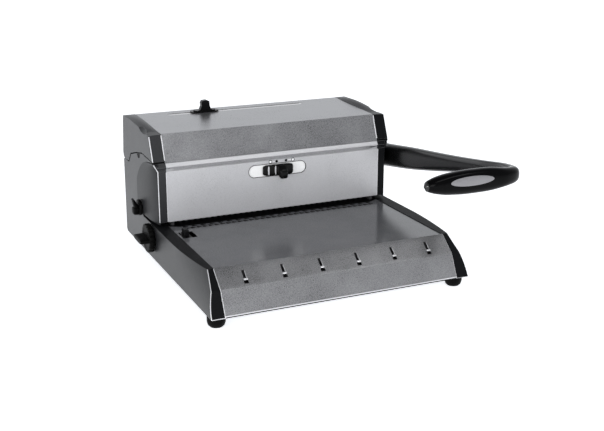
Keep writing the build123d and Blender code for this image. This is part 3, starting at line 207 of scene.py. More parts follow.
def polished(name: str, colour: Triple, roughness: float, specular: float,
             grain: float = 0.004, relief: float = 0.01) -> Finish:
    """Polished black plastic, all but free of texture."""
    return Finish(name, colour, 0.0, roughness, TURNED, grain, relief, 0.2, specular)


# Silver paint of the front panel, also used for the painted highlights on the front slider.
SILVER_PAINT_AND_GLINT = paint("silver satin paint of the front and painted slider glints", 0.51, 0.15, 0.11)
SLOPE_SILVER = paint("silver paint of the cover", 0.31, 0.8, 0.6)
# Painted light: the cover's upward faces get a lighter copy of the cover's paint, with less mottle.
COVER_TOP_PAINTED_LIGHT = paint("cover paint lightened on top as painted light", 0.345, 0.8, 0.2)
RAIL_SILVER = paint("silver paint of the rail", 0.275, 0.8, 0.5)
# Painted light: the rail's lower facet gets a lighter copy of the rail's paint.
RAIL_FACET_PAINTED_LIGHT = paint("rail paint lightened on its lower facet as painted light", 0.32, 0.7, 0.5)
# Painted shade: a darker grey for the strip laid in the groove over the front panel.
GROOVE_PAINTED_SHADE = paint("painted shade in the groove", 0.26, 0.5, 0.15)
TRAY_GREY = Finish("glossy grey tray", (0.135, 0.137, 0.145), 0.05, 0.17, FLAKE, 0.0012, 0.02, 0.3)
CASING = moulded("charcoal moulded casing", (0.015, 0.0155, 0.0175), 0.4, 0.4)
# Painted shade: a darker, less glossy copy of the casing for the skin in the body casing's hollow.
WAIST_PAINTED_SHADE = moulded("charcoal casing with painted shade in its hollow", (0.012, 0.0125, 0.014), 0.42, 0.15)
BASE_CASING = moulded("black moulded base casing", (0.008, 0.0083, 0.0095), 0.4, 0.36)
# Painted shade: a darker, duller copy of the black casing, put on faces by which way they turn.
CASING_PAINTED_SHADE = moulded("black moulded casing with painted shade", (0.006, 0.0063, 0.0072),
                   0.45, 0.06)
# Painted highlight: a near-white finish for thin beads laid along edges where the light catches
# them.
EDGE_HIGHLIGHT_BEAD = Finish("painted edge highlight", (0.72, 0.72, 0.74), 0.3, 0.35, TURNED, 0.002, 0.02, 0.04)
# Painted highlight: a lighter, glossier copy of the casing on the rounded edges of the body's and
# cover's casings.
CASING_EDGE_HIGHLIGHT = Finish("casing with painted highlight on its rounds", (0.07, 0.072, 0.075), 0.0, 0.3,
                     TURNED, 0.001, 0.02, 0.1, 0.8)
LEVER_BLACK = polished("polished black lever", (0.0015, 0.0015, 0.0017), 0.13, 0.06)
# Painted sheen: a slightly lighter, far more reflective copy of the lever's black for its left
# faces.
ARM_PAINTED_SHEEN = polished("polished black lever with painted sheen", (0.002, 0.002, 0.0022), 0.24, 0.5)
KNOB_BLACK = polished("glossy black knob", (0.002, 0.002, 0.0022), 0.2, 0.14, 0.002, 0.02)
INSERT_GREY = Finish("grey grip insert", (0.215, 0.212, 0.222), 0.0, 0.42, SKIN, 0.0009, 0.2, 0.1)
GUIDE_GREY = Finish("dark grey edge guide", (0.003, 0.0031, 0.0036), 0.0, 0.35,
                    SPARK, 0.0008, 0.08, 0.2, 0.12)
SCALE_WHITE = Finish("white scale strip", (0.95, 0.95, 0.95), 0.0, 0.35, TURNED, 0.002, 0.03, 0.02)
# Black of the printed marks, also used as painted shade in the window and under the rail's toe.
PRINT_AND_SHADE_BLACK = Finish("black print and painted shade", (0.003, 0.003, 0.003), 0.0, 0.4, TURNED, 0.001, 0.02, 0.1, 0.08)
CHROME = Finish("chromed wire", (0.78, 0.78, 0.8), 1.0, 0.08, TURNED, 0.002, 0.02, 0.04)
# Black rubber of the feet and knobs, also used for the strip of painted shade in the casing's gap.
RUBBER_AND_GAP_SHADE = Finish("black rubber and painted gap shade", (0.002, 0.002, 0.002), 0.0, 0.5, SKIN, 0.0009, 0.2, 0.25, 0.06)
# Plated metal of the hooks, partly painted highlight: its near-white colour stands for the glint on
# them.
PLATED_WIRE_AND_GLINT = Finish("plated wire, near white as painted highlight", (0.88, 0.88, 0.9), 0.6, 0.25, TURNED, 0.001, 0.02, 0.03)
DARK_SHEET = Finish("dark grey pan sheet", (0.05, 0.05, 0.053), 0.3, 0.45, FLAKE, 0.001, 0.1, 0.15)
# Painted shade: near black for the steel parts in the throat, and for strips and patches on the
# tray where shade falls.
THROAT_SHADE_BLACK = Finish("tool steel, black as painted throat shade", (0.003, 0.003, 0.0033), 0.0, 0.5,
                     GROUND, 0.0006, 0.15, 0.2, 0.06)
TOOL_STEEL = Finish("ground tool steel", (0.32, 0.32, 0.33), 1.0, 0.32, GROUND, 0.0004, 0.2, 0.12)
BRIGHT_STEEL = Finish("turned bright steel", (0.55, 0.55, 0.56), 1.0, 0.22,
                      GROUND, 0.0004, 0.12, 0.08)
BRONZE = Finish("turned bronze", (0.42, 0.26, 0.10), 1.0, 0.3, TURNED, 0.0006, 0.1, 0.1)
DRAWER_BLACK = Finish("black drawer plastic", (0.014, 0.014, 0.015), 0.0, 0.45,
                      SPARK, 0.0008, 0.15, 0.2)

SLOT_FINISH = {
    "silver_paint": SILVER_PAINT_AND_GLINT, "tray_gloss": TRAY_GREY, "rail_paint": RAIL_SILVER,
    "black_plastic": CASING, "handle_gloss": LEVER_BLACK, "insert_grey": INSERT_GREY,
    "knob_plastic": KNOB_BLACK, "scale_white": SCALE_WHITE, "chrome_wire": CHROME,
    "rubber": RUBBER_AND_GAP_SHADE, "zinc_sheet": DARK_SHEET, "tool_steel": TOOL_STEEL,
    "bright_steel": BRIGHT_STEEL, "bronze": BRONZE, "drawer_plastic": DRAWER_BLACK,
}
# Painted shade: the die plate, punch guide and depth stop take the black of the throat's shade.
NODE_FINISH = dict.fromkeys(("die_plate", "punch_guide", "depth_stop"), THROAT_SHADE_BLACK)
NODE_SLOT = {entry["node"]: entry["material_slot"] for entry in FRAME["record"]["subparts"]}


def in_scene(name: str, data: bpy.types.ID) -> Object:
    """Make an object of some data and link it to the scene."""
    made = bpy.data.objects.new(name, data)
    bpy.context.scene.collection.objects.link(made)
    return made


def place_piece(piece: Object, finish: Finish, node: str,
                replaced: tuple[str, ...] = ()) -> Object:
    """Give a finished piece its finish and hand it to the frame.

    Args:
        piece: The piece, at the origin with its place in its mesh.
        finish: Its finish, all over.
        node: CAD node whose body it rides on.
        replaced: CAD nodes that it stands for.

    Returns:
        The same piece.
    """
    piece.data.materials.clear()
    piece.data.materials.append(finish.material())
    body = FRAME["nodes"][node]["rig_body"]
    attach(piece, body)
    if replaced:
        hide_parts(*replaced)
    log.info("piece %s on %s", piece.name, body)
    return piece


def softened(node: str, finish: Finish, width: float, angle: float = 24.0, segments: int = 2,
             edge: Finish | None = None) -> Object:
    """Stand-in for a CAD node with small rounds on its crisp edges.

    The node's loose triangles are merged and its flat areas joined, then a bevel rounds each edge
    that turns by more than the angle.

    Args:
        node: Name of the CAD node.
        finish: Its finish.
        width: Width of the round in millimetres.
        angle: Least turn in degrees of an edge that is rounded.
        segments: Steps in the round.
        edge: Finish of the rounds, where it differs.

    Returns:
        The new piece, riding where the node rides.
    """
    mesh = FRAME["nodes"][node].data.copy()
    mesh.name = node + "_skin"
    form = bmesh.new()
    form.from_mesh(mesh)
    bmesh.ops.remove_doubles(form, verts=form.verts, dist=MERGE)
    bmesh.ops.dissolve_limit(form, angle_limit=FLAT, verts=form.verts, edges=form.edges)
    for crease in form.edges:
        crease.smooth = True
    form.to_mesh(mesh)
    form.free()
    mesh.shade_smooth()
    piece = in_scene(node + "_skin", mesh)
    bevel = piece.modifiers.new("rounds", "BEVEL")
    bevel.width = width * MM
    bevel.segments = segments
    bevel.limit_method = "ANGLE"
    bevel.angle_limit = math.radians(angle)
    bevel.miter_outer = "MITER_ARC"
    bevel.use_clamp_overlap = True
    normals = piece.modifiers.new("normals", "WEIGHTED_NORMAL")
    normals.keep_sharp = False
    place_piece(piece, finish, node, replaced=(node,))
    if edge is not None:
        mesh.materials.append(edge.material())
        bevel.material = 1
    return piece


def tint_faces(piece: Object, finish: Finish, facing: Triple, least: float) -> None:
    """Give another finish to faces whose normal has more than the given cosine to a direction; used
    to paint light and shade onto the faces turned one way.
    """
    piece.data.materials.append(finish.material())
    last = len(piece.data.materials) - 1
    for face in piece.data.polygons:
        if face.normal.dot(Vector(facing)) > least:
            face.material_index = last


class Shell:
    """Gridded surfaces in machine millimetres, gathered into one piece."""

    def __init__(self, name: str) -> None:
        """Start an empty shell with the name of its piece."""
        self.name = name
        self.points: list[np.ndarray] = []
        self.faces: list[list[int]] = []
        self.count = 0

    def grid(self, rows: np.ndarray, around: bool = True, ends: bool = True,
             kept: np.ndarray | None = None) -> "Shell":
        """Add a surface given as m sections of n points.

        Face (i, j) joins points (i, j), (i, j+1), (i+1, j+1) and (i+1, j).

        Args:
            rows: Array of m x n x 3.
            around: Whether each section closes on itself.
            ends: Whether the first and last section are closed with a fan about their middle.
            kept: Which of the faces stay, as an array of true and false.

        Returns:
            This shell.
        """
        m, n = rows.shape[:2]
        index = self.count + np.arange(m * n).reshape(m, n)
        nxt = np.roll(index, -1, axis=1)
        if not around:
            index, nxt = index[:, :-1], nxt[:, :-1]
        quads = np.stack([index[:-1], nxt[:-1], nxt[1:], index[1:]], axis=-1)
        self.faces += quads[np.ones(quads.shape[:2], bool) if kept is None else kept].tolist()
        self.points.append(rows.reshape(-1, 3))
        self.count += m * n
        if ends:
            for line, here, there in ((0, nxt[0], index[0]), (-1, index[-1], nxt[-1])):
                self.points.append(rows[line].mean(axis=0)[None])
                middle = np.full_like(here, self.count)
                self.faces += np.stack([middle, here, there], axis=-1).tolist()
                self.count += 1
        return self

    def piece(self, sharp: float = SHARP) -> Object:
        """Make the object, its faces outwards and its edges above the given degrees sharp."""
        mesh = bpy.data.meshes.new(self.name)
        mesh.from_pydata(((np.vstack(self.points) + SHIFT) * MM).tolist(), [], self.faces)
        form = bmesh.new()
        form.from_mesh(mesh)
        bmesh.ops.remove_doubles(form, verts=form.verts, dist=MERGE)
        bmesh.ops.recalc_face_normals(form, faces=form.faces)
        form.to_mesh(mesh)
        form.free()
        mesh.shade_smooth()
        mesh.set_sharp_from_angle(angle=math.radians(sharp))
        return in_scene(self.name, mesh)

    def lay(self, node: str, finish: Finish, slot: str = "", sharp: float = SHARP,
            stands: bool = False) -> Object:
        """Make the object and place it on a node's body, in the node's place where it stands."""
        return place_piece(self.piece(sharp), finish, node, (node,) if stands else ())


def walled(piece: Object) -> Object:
    """Give an open sheet its wall on the inner side, worked into its mesh."""
    wall = piece.modifiers.new("wall", "SOLIDIFY")
    wall.thickness = SHEET * MM
    wall.offset = -1.0
    seen = piece.evaluated_get(bpy.context.evaluated_depsgraph_get())
    mesh = bpy.data.meshes.new_from_object(seen)
    piece.modifiers.clear()
    piece.data = mesh
    mesh.shade_smooth()
    mesh.set_sharp_from_angle(angle=math.radians(SHARP))
    return piece


def turn(count: int) -> np.ndarray:
    """Angles of a full turn in equal steps."""
    return np.linspace(0.0, 2 * math.pi, count, endpoint=False)


def squared(angle: np.ndarray, power: np.ndarray | float) -> tuple[np.ndarray, np.ndarray]:
    """Unit superellipse: cosine and sine, each to the power 2/p with its sign kept."""
    c, s = np.cos(angle), np.sin(angle)
    return np.sign(c) * np.abs(c) ** (2 / power), np.sign(s) * np.abs(s) ** (2 / power)


def bead(points: Points | np.ndarray, radius: float, sign: int = 1) -> np.ndarray:
    """Thin round bead along a line, given for the right side and mirrored where sign is -1."""
    path = np.array(points) * (sign, 1, 1)
    heading = np.gradient(path, axis=0)
    heading /= np.linalg.norm(heading, axis=1)[:, None]
    side = np.cross(heading, [0.0, 1.0, 0.02])
    side /= np.linalg.norm(side, axis=1)[:, None]
    up = np.cross(side, heading)
    angle = turn(12)[None, :, None]
    return path[:, None] + radius * (side[:, None] * np.cos(angle) + up[:, None] * np.sin(angle))


def lathe(axis: int, middle: Pair, profile: Points | np.ndarray, steps: int) -> np.ndarray:
    """Profile of (place along, radius) pairs turned about a line.

    Args:
        axis: Which way the line runs, 0 for X to 2 for Z.
        middle: Place of the line along the other two axes.
        profile: The pairs.
        steps: Points in a turn.

    Returns:
        Sections of the turned form.
    """
    angle = turn(steps)
    along, radius = np.array(profile)[:, :1], np.array(profile)[:, 1:]
    parts = [middle[0] + radius * np.cos(angle), middle[1] + radius * np.sin(angle)]
    parts.insert(axis, along + 0 * angle)
    return np.stack(parts, axis=-1)


def eased(points: np.ndarray, steps: int) -> np.ndarray:
    """Rows of numbers joined by a smooth curve through each of them.

    Between two rows the curve is the cubic whose slopes at its ends are those of the chord
    between their neighbours, worked on the rows' first three columns as distance.

    Args:
        points: Array of m x k.
        steps: Points wanted in all.

    Returns:
        Array of steps x k.
    """
    gaps = np.linalg.norm(np.diff(points[:, :3], axis=0), axis=1)
    along = np.concatenate([[0.0], np.cumsum(gaps)])
    slope = np.gradient(points, along, axis=0)
    want = np.linspace(0.0, along[-1], steps)
    left = np.clip(np.searchsorted(along, want, side="right") - 1, 0, len(along) - 2)
    span = (along[left + 1] - along[left])[:, None]
    t = (want - along[left])[:, None] / span
    return ((2 * t**3 - 3 * t**2 + 1) * points[left] + (t**3 - 2 * t**2 + t) * span * slope[left]
            + (3 * t**2 - 2 * t**3) * points[left + 1] + (t**3 - t**2) * span * slope[left + 1])


def rounded_path(corners: np.ndarray, radii: np.ndarray) -> np.ndarray:
    """Closed line of (a, b) corners with each corner swung by a quadratic curve.

    The curve at a corner runs from the point at its radius before it to the one after it.

    Args:
        corners: Array of n x 2.
        radii: How far before and after each corner the curve starts and ends.

    Returns:
        Array of (n * BEND_STEPS) x 2.
    """
    back = np.roll(corners, 1, axis=0) - corners
    ahead = np.roll(corners, -1, axis=0) - corners
    back = corners + back / np.linalg.norm(back, axis=1)[:, None] * radii[:, None]
    ahead = corners + ahead / np.linalg.norm(ahead, axis=1)[:, None] * radii[:, None]
    t = np.linspace(0.0, 1.0, BEND_STEPS)[None, :, None]
    path = back[:, None] * (1 - t)**2 + 2 * corners[:, None] * t * (1 - t) + ahead[:, None] * t**2
    return path.reshape(-1, 2)


def bar(x: Pair, y: Pair, z: Pair, power: float = 5.0, steps: int = 17) -> np.ndarray:
    """Rounded block between limits: a superellipse in Y-Z that shrinks to nothing at both X ends.

    The share of its full size at the fraction u between the ends, u from -1 to 1, is
    (1 - |u|^p)^(1/p).
    """
    cos, sin = squared(turn(40), power)
    u = np.sin(np.linspace(-math.pi / 2, math.pi / 2, steps))[:, None]
    share = np.clip(1 - np.abs(u)**power, 0, 1)**(1 / power)
    low, high = np.array([x, y, z]).T
    mid, half = (low + high) / 2, (high - low) / 2
    return np.stack([mid[0] + half[0] * u + 0 * cos, mid[1] + half[1] * share * cos,
                     mid[2] + half[2] * share * sin], axis=-1)


@dataclass
class Studio:
    """Camera, floor and light of the photograph.

    Attributes:
        eye: Camera place in metres.
        yaw: Degrees that the camera looks to the right of straight back.
        pitch: Degrees that it looks down.
        lens: Focal length for a 36 mm wide sensor.
        floor_half: Half the width of the floor in metres.
        floor_white: Colour of the floor.
        floor_glow: Strength of the floor's own light.
        daylight: Colour of the room's light and the floor's.
        overhead: Strength of the room's light from straight above.
        front: Its strength from the front, above the horizon.
        horizon: Its strength at the horizon in front.
        lamps: Name, place, aim, width and height in metres, and watts of each softbox.
    """

    eye: Triple = (-0.53178, -1.17585, 0.4821)
    yaw: float = 24.41
    pitch: float = 17.27
    lens: float = 60.0
    floor_half: float = 30.0
    floor_white: tuple[float, ...] = (0.9, 0.9, 0.9, 1)
    floor_glow: float = 0.75
    daylight: tuple[float, ...] = (0.95, 0.97, 1, 1)
    overhead: float = 0.25
    front: float = 0.5
    horizon: float = 1.2
    lamps: tuple[tuple[str, Triple, Triple, Pair, float], ...] = (
        ("front top softbox", (1.05, -1.6, 2.95), (0.0, 0.08, 0.15), (2.1, 0.5), 15.0),
        ("left low softbox", (-2.0, -0.85, 0.42), (0.0, 0.0, 0.12), (0.9, 0.35), 16.0),
        ("camera softbox", (-0.5, -1.8, 0.7), (0.0, 0.0, 0.12), (0.9, 0.7), 8.5))

    def build(self) -> None:
        """Set up the camera, the floor, the room's light and the lamps."""
        self._camera()
        self._floor()
        self._room()
        for name, place, aim, size, watts in self.lamps:
            data = bpy.data.lights.new(name, "AREA")
            data.shape = "RECTANGLE"
            data.size, data.size_y = size
            data.energy = watts
            lamp = in_scene(name, data)
            lamp.location = place
            ray = Vector(aim) - Vector(place)
            lamp.rotation_euler = ray.to_track_quat("-Z", "Y").to_euler()
        bpy.context.scene.view_settings.view_transform = "Standard"

    def _camera(self) -> None:
        """Make the camera and set it as the scene's."""
        data = bpy.data.cameras.new("camera")
        data.lens = self.lens
        data.sensor_width = 36.0
        data.sensor_fit = "HORIZONTAL"
        data.clip_start = 0.01
        camera = in_scene("camera", data)
        camera.location = self.eye
        camera.rotation_euler = (math.radians(90 - self.pitch), 0.0, math.radians(-self.yaw))
        bpy.context.scene.camera = camera

    def _floor(self) -> None:
        """Lay a wide white floor, lit through from below as a product table is."""
        half = self.floor_half
        mesh = bpy.data.meshes.new("floor")
        corners = [(-half, -half, 0), (half, -half, 0), (half, half, 0), (-half, half, 0)]
        mesh.from_pydata(corners, [], [(0, 1, 2, 3)])
        floor = in_scene("floor", mesh)
        made = bpy.data.materials.new("floor")
        made.use_nodes = True
        tuned(made.node_tree.nodes["Principled BSDF"],
              {"Base Color": self.floor_white, "Roughness": 0.9, "Specular IOR Level": 0.1,
               "Emission Color": self.daylight, "Emission Strength": self.floor_glow})
        mesh.materials.append(made)

    def _room(self) -> None:
        """Light the room from all round: pale at the horizon, dim overhead, dimmer in front.

        Each strength changes smoothly over a span of the direction's Z, and front turns to back
        over a span of its Y.
        """
        world = bpy.data.worlds.new("studio")
        bpy.context.scene.world = world
        world.use_nodes = True
        tree, nodes = world.node_tree, world.node_tree.nodes
        split = tuned(nodes.new("ShaderNodeSeparateXYZ"),
                      {"Vector": nodes.new("ShaderNodeTexCoord").outputs["Generated"]})
        low = self._range(tree, split.outputs["Z"], (0.02, 0.25), (self.horizon, self.front))
        high = self._range(tree, split.outputs["Z"], (0.4, 0.85), (1.0, self.overhead))
        back = self._range(tree, split.outputs["Y"], (-0.35, 0.4), (0.0, 1.0))
        front = tuned(nodes.new("ShaderNodeMath"), {0: low, 1: high})
        front.operation = "MINIMUM"
        round_about = tuned(nodes.new("ShaderNodeMix"),
                            {"Factor": back, "A": front.outputs["Value"], "B": high})
        tuned(nodes["Background"],
              {"Color": self.daylight, "Strength": round_about.outputs["Result"]})

    @staticmethod
    def _range(tree: NodeTree, value: NodeSocket, span: Pair, result: Pair) -> NodeSocket:
        """Carry a number smoothly from one span to another."""
        node = tree.nodes.new("ShaderNodeMapRange")
        node.interpolation_type = "SMOOTHSTEP"
        names = ("Value", "From Min", "From Max", "To Min", "To Max")
        return tuned(node, dict(zip(names, (value, *span, *result)))).outputs["Result"]


@dataclass
class Casings:
    """The moulded end casings of the body, the cover and the base.

    Attributes:
        body_edge: Width of the rounds on the body's casings.
        cover_edge: Width of the rounds on the cover's casings.
        base_edge: Width of the rounds on the base's casings.
        waist_arc: Rear edge of the hollow in a body casing as (z, y).
        gap_line: The gap under the cover's casing as (y, z).
        base_side: X of a base casing's side at its foot.
        base_flare: How far in it comes at the front, where it starts in Y, and over what length.
    """

    body_edge: float = 0.9
    cover_edge: float = 2.4
    base_edge: float = 1.0
    waist_arc: Points = ((67.0, 88.0), (112.0, 88.0), (124.0, 82.0), (134.0, 72.0), (142.0, 56.0),
                         (147.0, 38.0), (150.0, 18.0), (151.3, 1.0))
    gap_line: Points = ((3.1, 151.2), (8.0, 153.4), (20.0, 154.2), (54.0, 154.8), (84.0, 149.0))
    base_side: float = 177.4
    base_flare: Triple = (17.9, -63.0, 159.0)

    def build(self) -> None:
        """Round the edges of the six casings, with painted highlight on the rounds and painted
        shade on faces turned one way, and lay on their hollows, the strips of painted gap shade and
        the beads of painted highlight.
        """
        for side in SIDES:
            body = softened(f"{side}_body_cap", CASING, self.body_edge, edge=CASING_EDGE_HIGHLIGHT)
            cover = softened(f"{side}_cover_cap", CASING, self.cover_edge, 30.0, 4, CASING_EDGE_HIGHLIGHT)
            # Painted shade: on the right, the front faces of the body's and cover's casings take
            # the darker copy.
            for cap in (body, cover) if side == "right" else ():
                tint_faces(cap, CASING_PAINTED_SHADE, (0, -1, 0), 0.6)
            base = softened(f"{side}_base_cap", BASE_CASING, self.base_edge)
            # Painted shade: the base casings' faces turned up and forward take the darker copy.
            tint_faces(base, CASING_PAINTED_SHADE, (0, -0.6, 0.8), 0.6)
            self._waist(side)
            self._shade_the_gap(side)
            self._front_edge_highlights(side)
            self._nose_highlights(side)

    def _waist(self, side: str) -> None:
        """Smooth skin over the hollow in a body casing, in a darker, duller copy of the casing as
        painted shade.

        At the share t of the way back from the front edge to the hollow's arc the skin lies
        its rise times 1 - (1 - t)^4 out from the hollow's floor, so it is steepest in front.
        """
        floor, rise, foot, height = 170.55, 6.42, 67.2, 84.0
        swing = np.sin(np.linspace(0.02, math.pi / 2, 40))**0.9
        z = foot + height * np.concatenate([[0.0], swing])[:, None]
        arc = np.interp(z, *np.array(self.waist_arc).T)
        t = np.linspace(0.0, 1.0, 40)[None, :]
        x = floor + rise * (1 - (1 - t)**4) + 0 * z
        rows = np.stack([SIDES[side] * x, 0.1 + arc * t, z + 0 * t], axis=-1)
        skin = Shell(f"{side}_shaded_waist_skin").grid(rows, around=False, ends=False).piece(60.0)
        faces = skin.data.polygons
        if faces[len(faces) // 2].normal.x * SIDES[side] < 0:
            skin.data.flip_normals()
        place_piece(walled(skin), WAIST_PAINTED_SHADE, f"{side}_body_cap")

    def _shade_the_gap(self, side: str) -> None:
        """Painted shade: a black strip in the front of the gap under the cover's casing, where the
        gap lies in shadow.
        """
        y = np.linspace(3.6, 44.0, 24)
        z = np.interp(y, *np.array(self.gap_line).T)
        ring = ((161.0, 0.1), (177.06, -0.85), (177.06, 2.05), (161.0, 1.6))
        rows = np.stack([np.stack([np.full_like(y, SIDES[side] * x), y, z + lift], axis=-1)
                         for x, lift in ring], axis=1)
        Shell(f"{side}_gap_shade_strip").grid(rows).lay(f"{side}_body_cap", RUBBER_AND_GAP_SHADE, "rubber")

    def _front_edge_highlights(self, side: str) -> None:
        """Beads of painted highlight along the casings' front edges, the outer ones on the left
        only, where the light falls.
        """
        for part, outer, outer_radius, inner, inner_radius in (
                ("body", ((176.6, 0.2, 151.0), (171.0, 0.15, 140.8), (171.0, 0.15, 70.8)), 0.6,
                 ((159.7, 0.0, 139.8), (159.7, 0.2, 70.8)), 0.45),
                ("cover", ((176.3, 17.4, 185.6), (176.3, 4.0, 153.6)), 0.75,
                 ((159.7, 17.0, 186.4), (159.7, 4.4, 155.0)), 0.7)):
            lines = Shell(f"{side}_{part}_edge_lines")
            if side == "left":
                lines.grid(bead(outer, outer_radius, SIDES[side]))
            lines.grid(bead(inner, inner_radius, SIDES[side]))
            lines.lay(f"{side}_{part}_cap", EDGE_HIGHLIGHT_BEAD, "silver_paint")

    def _nose_highlights(self, side: str) -> None:
        """Beads of painted highlight down the two edges of a base casing's front and along its
        foot.

        The casing's side lies its flare times u^2 t^2 in from its foot's, where u runs from 0 at
        the foot to 1 at the tray and t from 0 where the flare starts to 1 over its length.
        """
        (_, tray_z), (_, crease_z), (_, foot_z) = NOSE
        inward, start, length = self.base_flare
        z = np.concatenate([np.linspace(tray_z - 0.2, crease_z, 9),
                            np.linspace(crease_z - 3.0, foot_z + 0.5, 9)])
        y = np.interp(z, *np.array(NOSE)[::-1, ::-1].T)
        u, t = (z - foot_z) / (tray_z - foot_z), (start - y) / length
        x = self.base_side - inward * u**2 * t**2
        # Painted highlight, heavier on the left side, which faces the light.
        thick = 1.0 if side == "left" else 0.4
        lines = Shell(f"{side}_base_edge_lines")
        for points, radius in ((np.stack([x - 0.3, y, z], axis=-1), 0.5),
                               (np.stack([159.9 + 0 * z, y - 0.1, z], axis=-1), 0.42),
                               (((177.0, -219.9, 15.5), (159.6, -219.9, 15.5)), 0.5)):
            lines.grid(bead(points, radius * thick, SIDES[side]))
        lines.lay(f"{side}_base_cap", EDGE_HIGHLIGHT_BEAD, "silver_paint")


@dataclass
class Panels:
    """The painted front, cover and back sheets, and the black strips of painted shade in the throat
    and about the tray's holes.

    Attributes:
        fold: Width of the rounds on folds and cut edges.
        throat: Limits in X, Y and Z of the strips of painted shade in the throat and under the
            holes.
        shaded_holes: Count, spacing and Y of each row of holes, and half size in X and Y of the
            black patch of painted shade about a hole.
    """

    fold: float = 0.6
    throat: tuple[Box, ...] = (((-159.0, 159.0), (-5.6, 9.8), (63.2, 63.7)),
                               ((-158.0, 158.0), (-17.6, -5.9), (63.0, 63.32)))
    shaded_holes: Points = ((34, 25.4 / 3, -15.7, 1.9, 3.3), (23, 12.7, -7.8, 2.3, 2.7))

    def build(self) -> None:
        """Round the folds of every sheet, then lay in the strips of painted shade in the groove,
        the throat and about the holes.
        """
        softened("front_panel", SILVER_PAINT_AND_GLINT, self.fold, 18.0)
        # Painted shade: a dark strip along the floor of the groove, where shade falls.
        groove = bar((-159.3, 159.3), (2.2, 2.9), (141.4, 145.6), 9.0, 9)
        Shell("groove_shade_strip").grid(groove).lay("front_panel", GROOVE_PAINTED_SHADE)
        cover = softened("cover_panel", SLOPE_SILVER, self.fold, 12.0)
        # Painted light: faces turned straight up take the lighter copy of the paint.
        tint_faces(cover, COVER_TOP_PAINTED_LIGHT, (0, 0, 1), 0.97)
        softened("rear_panel", DARK_SHEET, self.fold / 2, 30.0)
        # Painted shade: black strips on the tray in the throat and black patches about each gauge
        # hole.
        throat = Shell("throat_shade_strip")
        for limits in self.throat:
            throat.grid(bar(*limits, 12.0, 9))
        throat.lay("die_plate", THROAT_SHADE_BLACK)
        shaded_holes = Shell("gauge_hole_shades")
        for count, pitch, y, wide, deep in self.shaded_holes:
            for x in (np.arange(count) - (count - 1) / 2) * pitch:
                shaded_holes.grid(bar((x - wide, x + wide), (y - deep, y + deep), (63.3, 63.46), 7.0, 7))
        shaded_holes.lay("tray_plate", THROAT_SHADE_BLACK)


@dataclass
class Rail:
    """The sloping front rail: a folded hollow section with its slots and hook holes.

    Attributes:
        half: Half its length.
        corners: Its outline as (y, z), from the top of its back wall round by the front.
        radii: Half width of the bend at each corner.
        first: Place along X of the first slot.
        pitch: Spacing of the slots.
        count: Number of the slots.
        slot: Half width of a slot, and how far down the facet it starts and ends.
        hole: Half width of a hook's hole, and where it starts and ends.
        hook: Limits across, down the facet and out from it, of a hook's foot and its tongue.
    """

    half: float = 159.5
    corners: Points = ((-179.6, 64.4), *NOSE, (-179.6, 15.0))
    radii: tuple[float, ...] = (0.2, 0.45, 0.12, 2.6, 0.6)
    first: float = -125.3
    pitch: float = 50.8
    count: int = 6
    slot: Triple = (1.8, 7.985, 22.985)
    hole: Triple = (3.0, 22.985, 27.185)
    hook: tuple[Box, ...] = (((-2.9, 2.9), (20.4, 22.9), (0.4, 1.7)),
                             ((1.8, 2.4), (8.6, 21.5), (-0.6, 0.3)))

    def build(self) -> None:
        """Carry the outline along X, leave the openings out and give the sheet its wall."""
        bent = rounded_path(np.array(self.corners), np.array(self.radii))
        facet = 2 * BEND_STEPS
        top, crease = np.array(self.corners[1]), np.array(self.corners[2])
        down = (crease - top) / np.linalg.norm(crease - top)
        marks = np.array([self.slot[1], self.slot[2], self.hole[2]])
        section = np.vstack([bent[:facet], top + marks[:, None] * down, bent[facet:]])
        centres = self.first + self.pitch * np.arange(self.count)
        edges = [centres + side * half for half in (self.slot[0], self.hole[0]) for side in (-1, 1)]
        x = np.sort(np.concatenate([[-self.half, self.half], *edges]))
        rows = np.empty((len(x), len(section), 3))
        rows[:, :, 0], rows[:, :, 1:] = x[:, None], section
        near = np.abs((x[:-1] + x[1:]) / 2 - centres[:, None]).min(axis=0)
        kept = np.ones((len(x) - 1, len(section)), bool)
        kept[near < self.slot[0], facet] = False
        kept[near < self.hole[0], facet + 1] = False
        rail = Shell("front_rail_sheet").grid(rows, ends=False, kept=kept).piece()
        place_piece(walled(rail), RAIL_SILVER, "front_rail", replaced=("front_rail",))
        # Painted light: the lower facet, turned to the front and up, takes the lighter copy of the
        # paint.
        tint_faces(rail, RAIL_FACET_PAINTED_LIGHT, (0, -0.894, 0.447), 0.985)
        # A bead of painted highlight along the rail's toe, and a black bead of painted shade under
        # it.
        for name, finish, y, z, radius in (("rail_toe_highlight", EDGE_HIGHLIGHT_BEAD, -219.3, 17.0, 0.8),
                                           ("rail_foot_shade", PRINT_AND_SHADE_BLACK, -218.8, 15.3, 0.75)):
            line = bead(((0.1 - self.half, y, z), (self.half - 0.1, y, z)), radius)
            Shell(name).grid(line).lay("front_rail", finish, sharp=60.0)
        self._hooks(top, down, centres)

    def _hooks(self, top: np.ndarray, down: np.ndarray, centres: np.ndarray) -> None:
        """Bent plated strips: a bar over the foot of each slot, with its tongue in the slot."""
        out = np.array([down[1], -down[0]])
        shell = Shell("plated_hooks")
        for centre in centres:
            for across, along, lift in self.hook:
                block = bar((centre + across[0], centre + across[1]), along, lift, 4.0, 9)
                place = top + block[..., 1:2] * down + block[..., 2:] * out
                shell.grid(np.concatenate([block[..., :1], place], axis=-1))
        shell.lay("wire_hooks", PLATED_WIRE_AND_GLINT, sharp=40.0, stands=True)


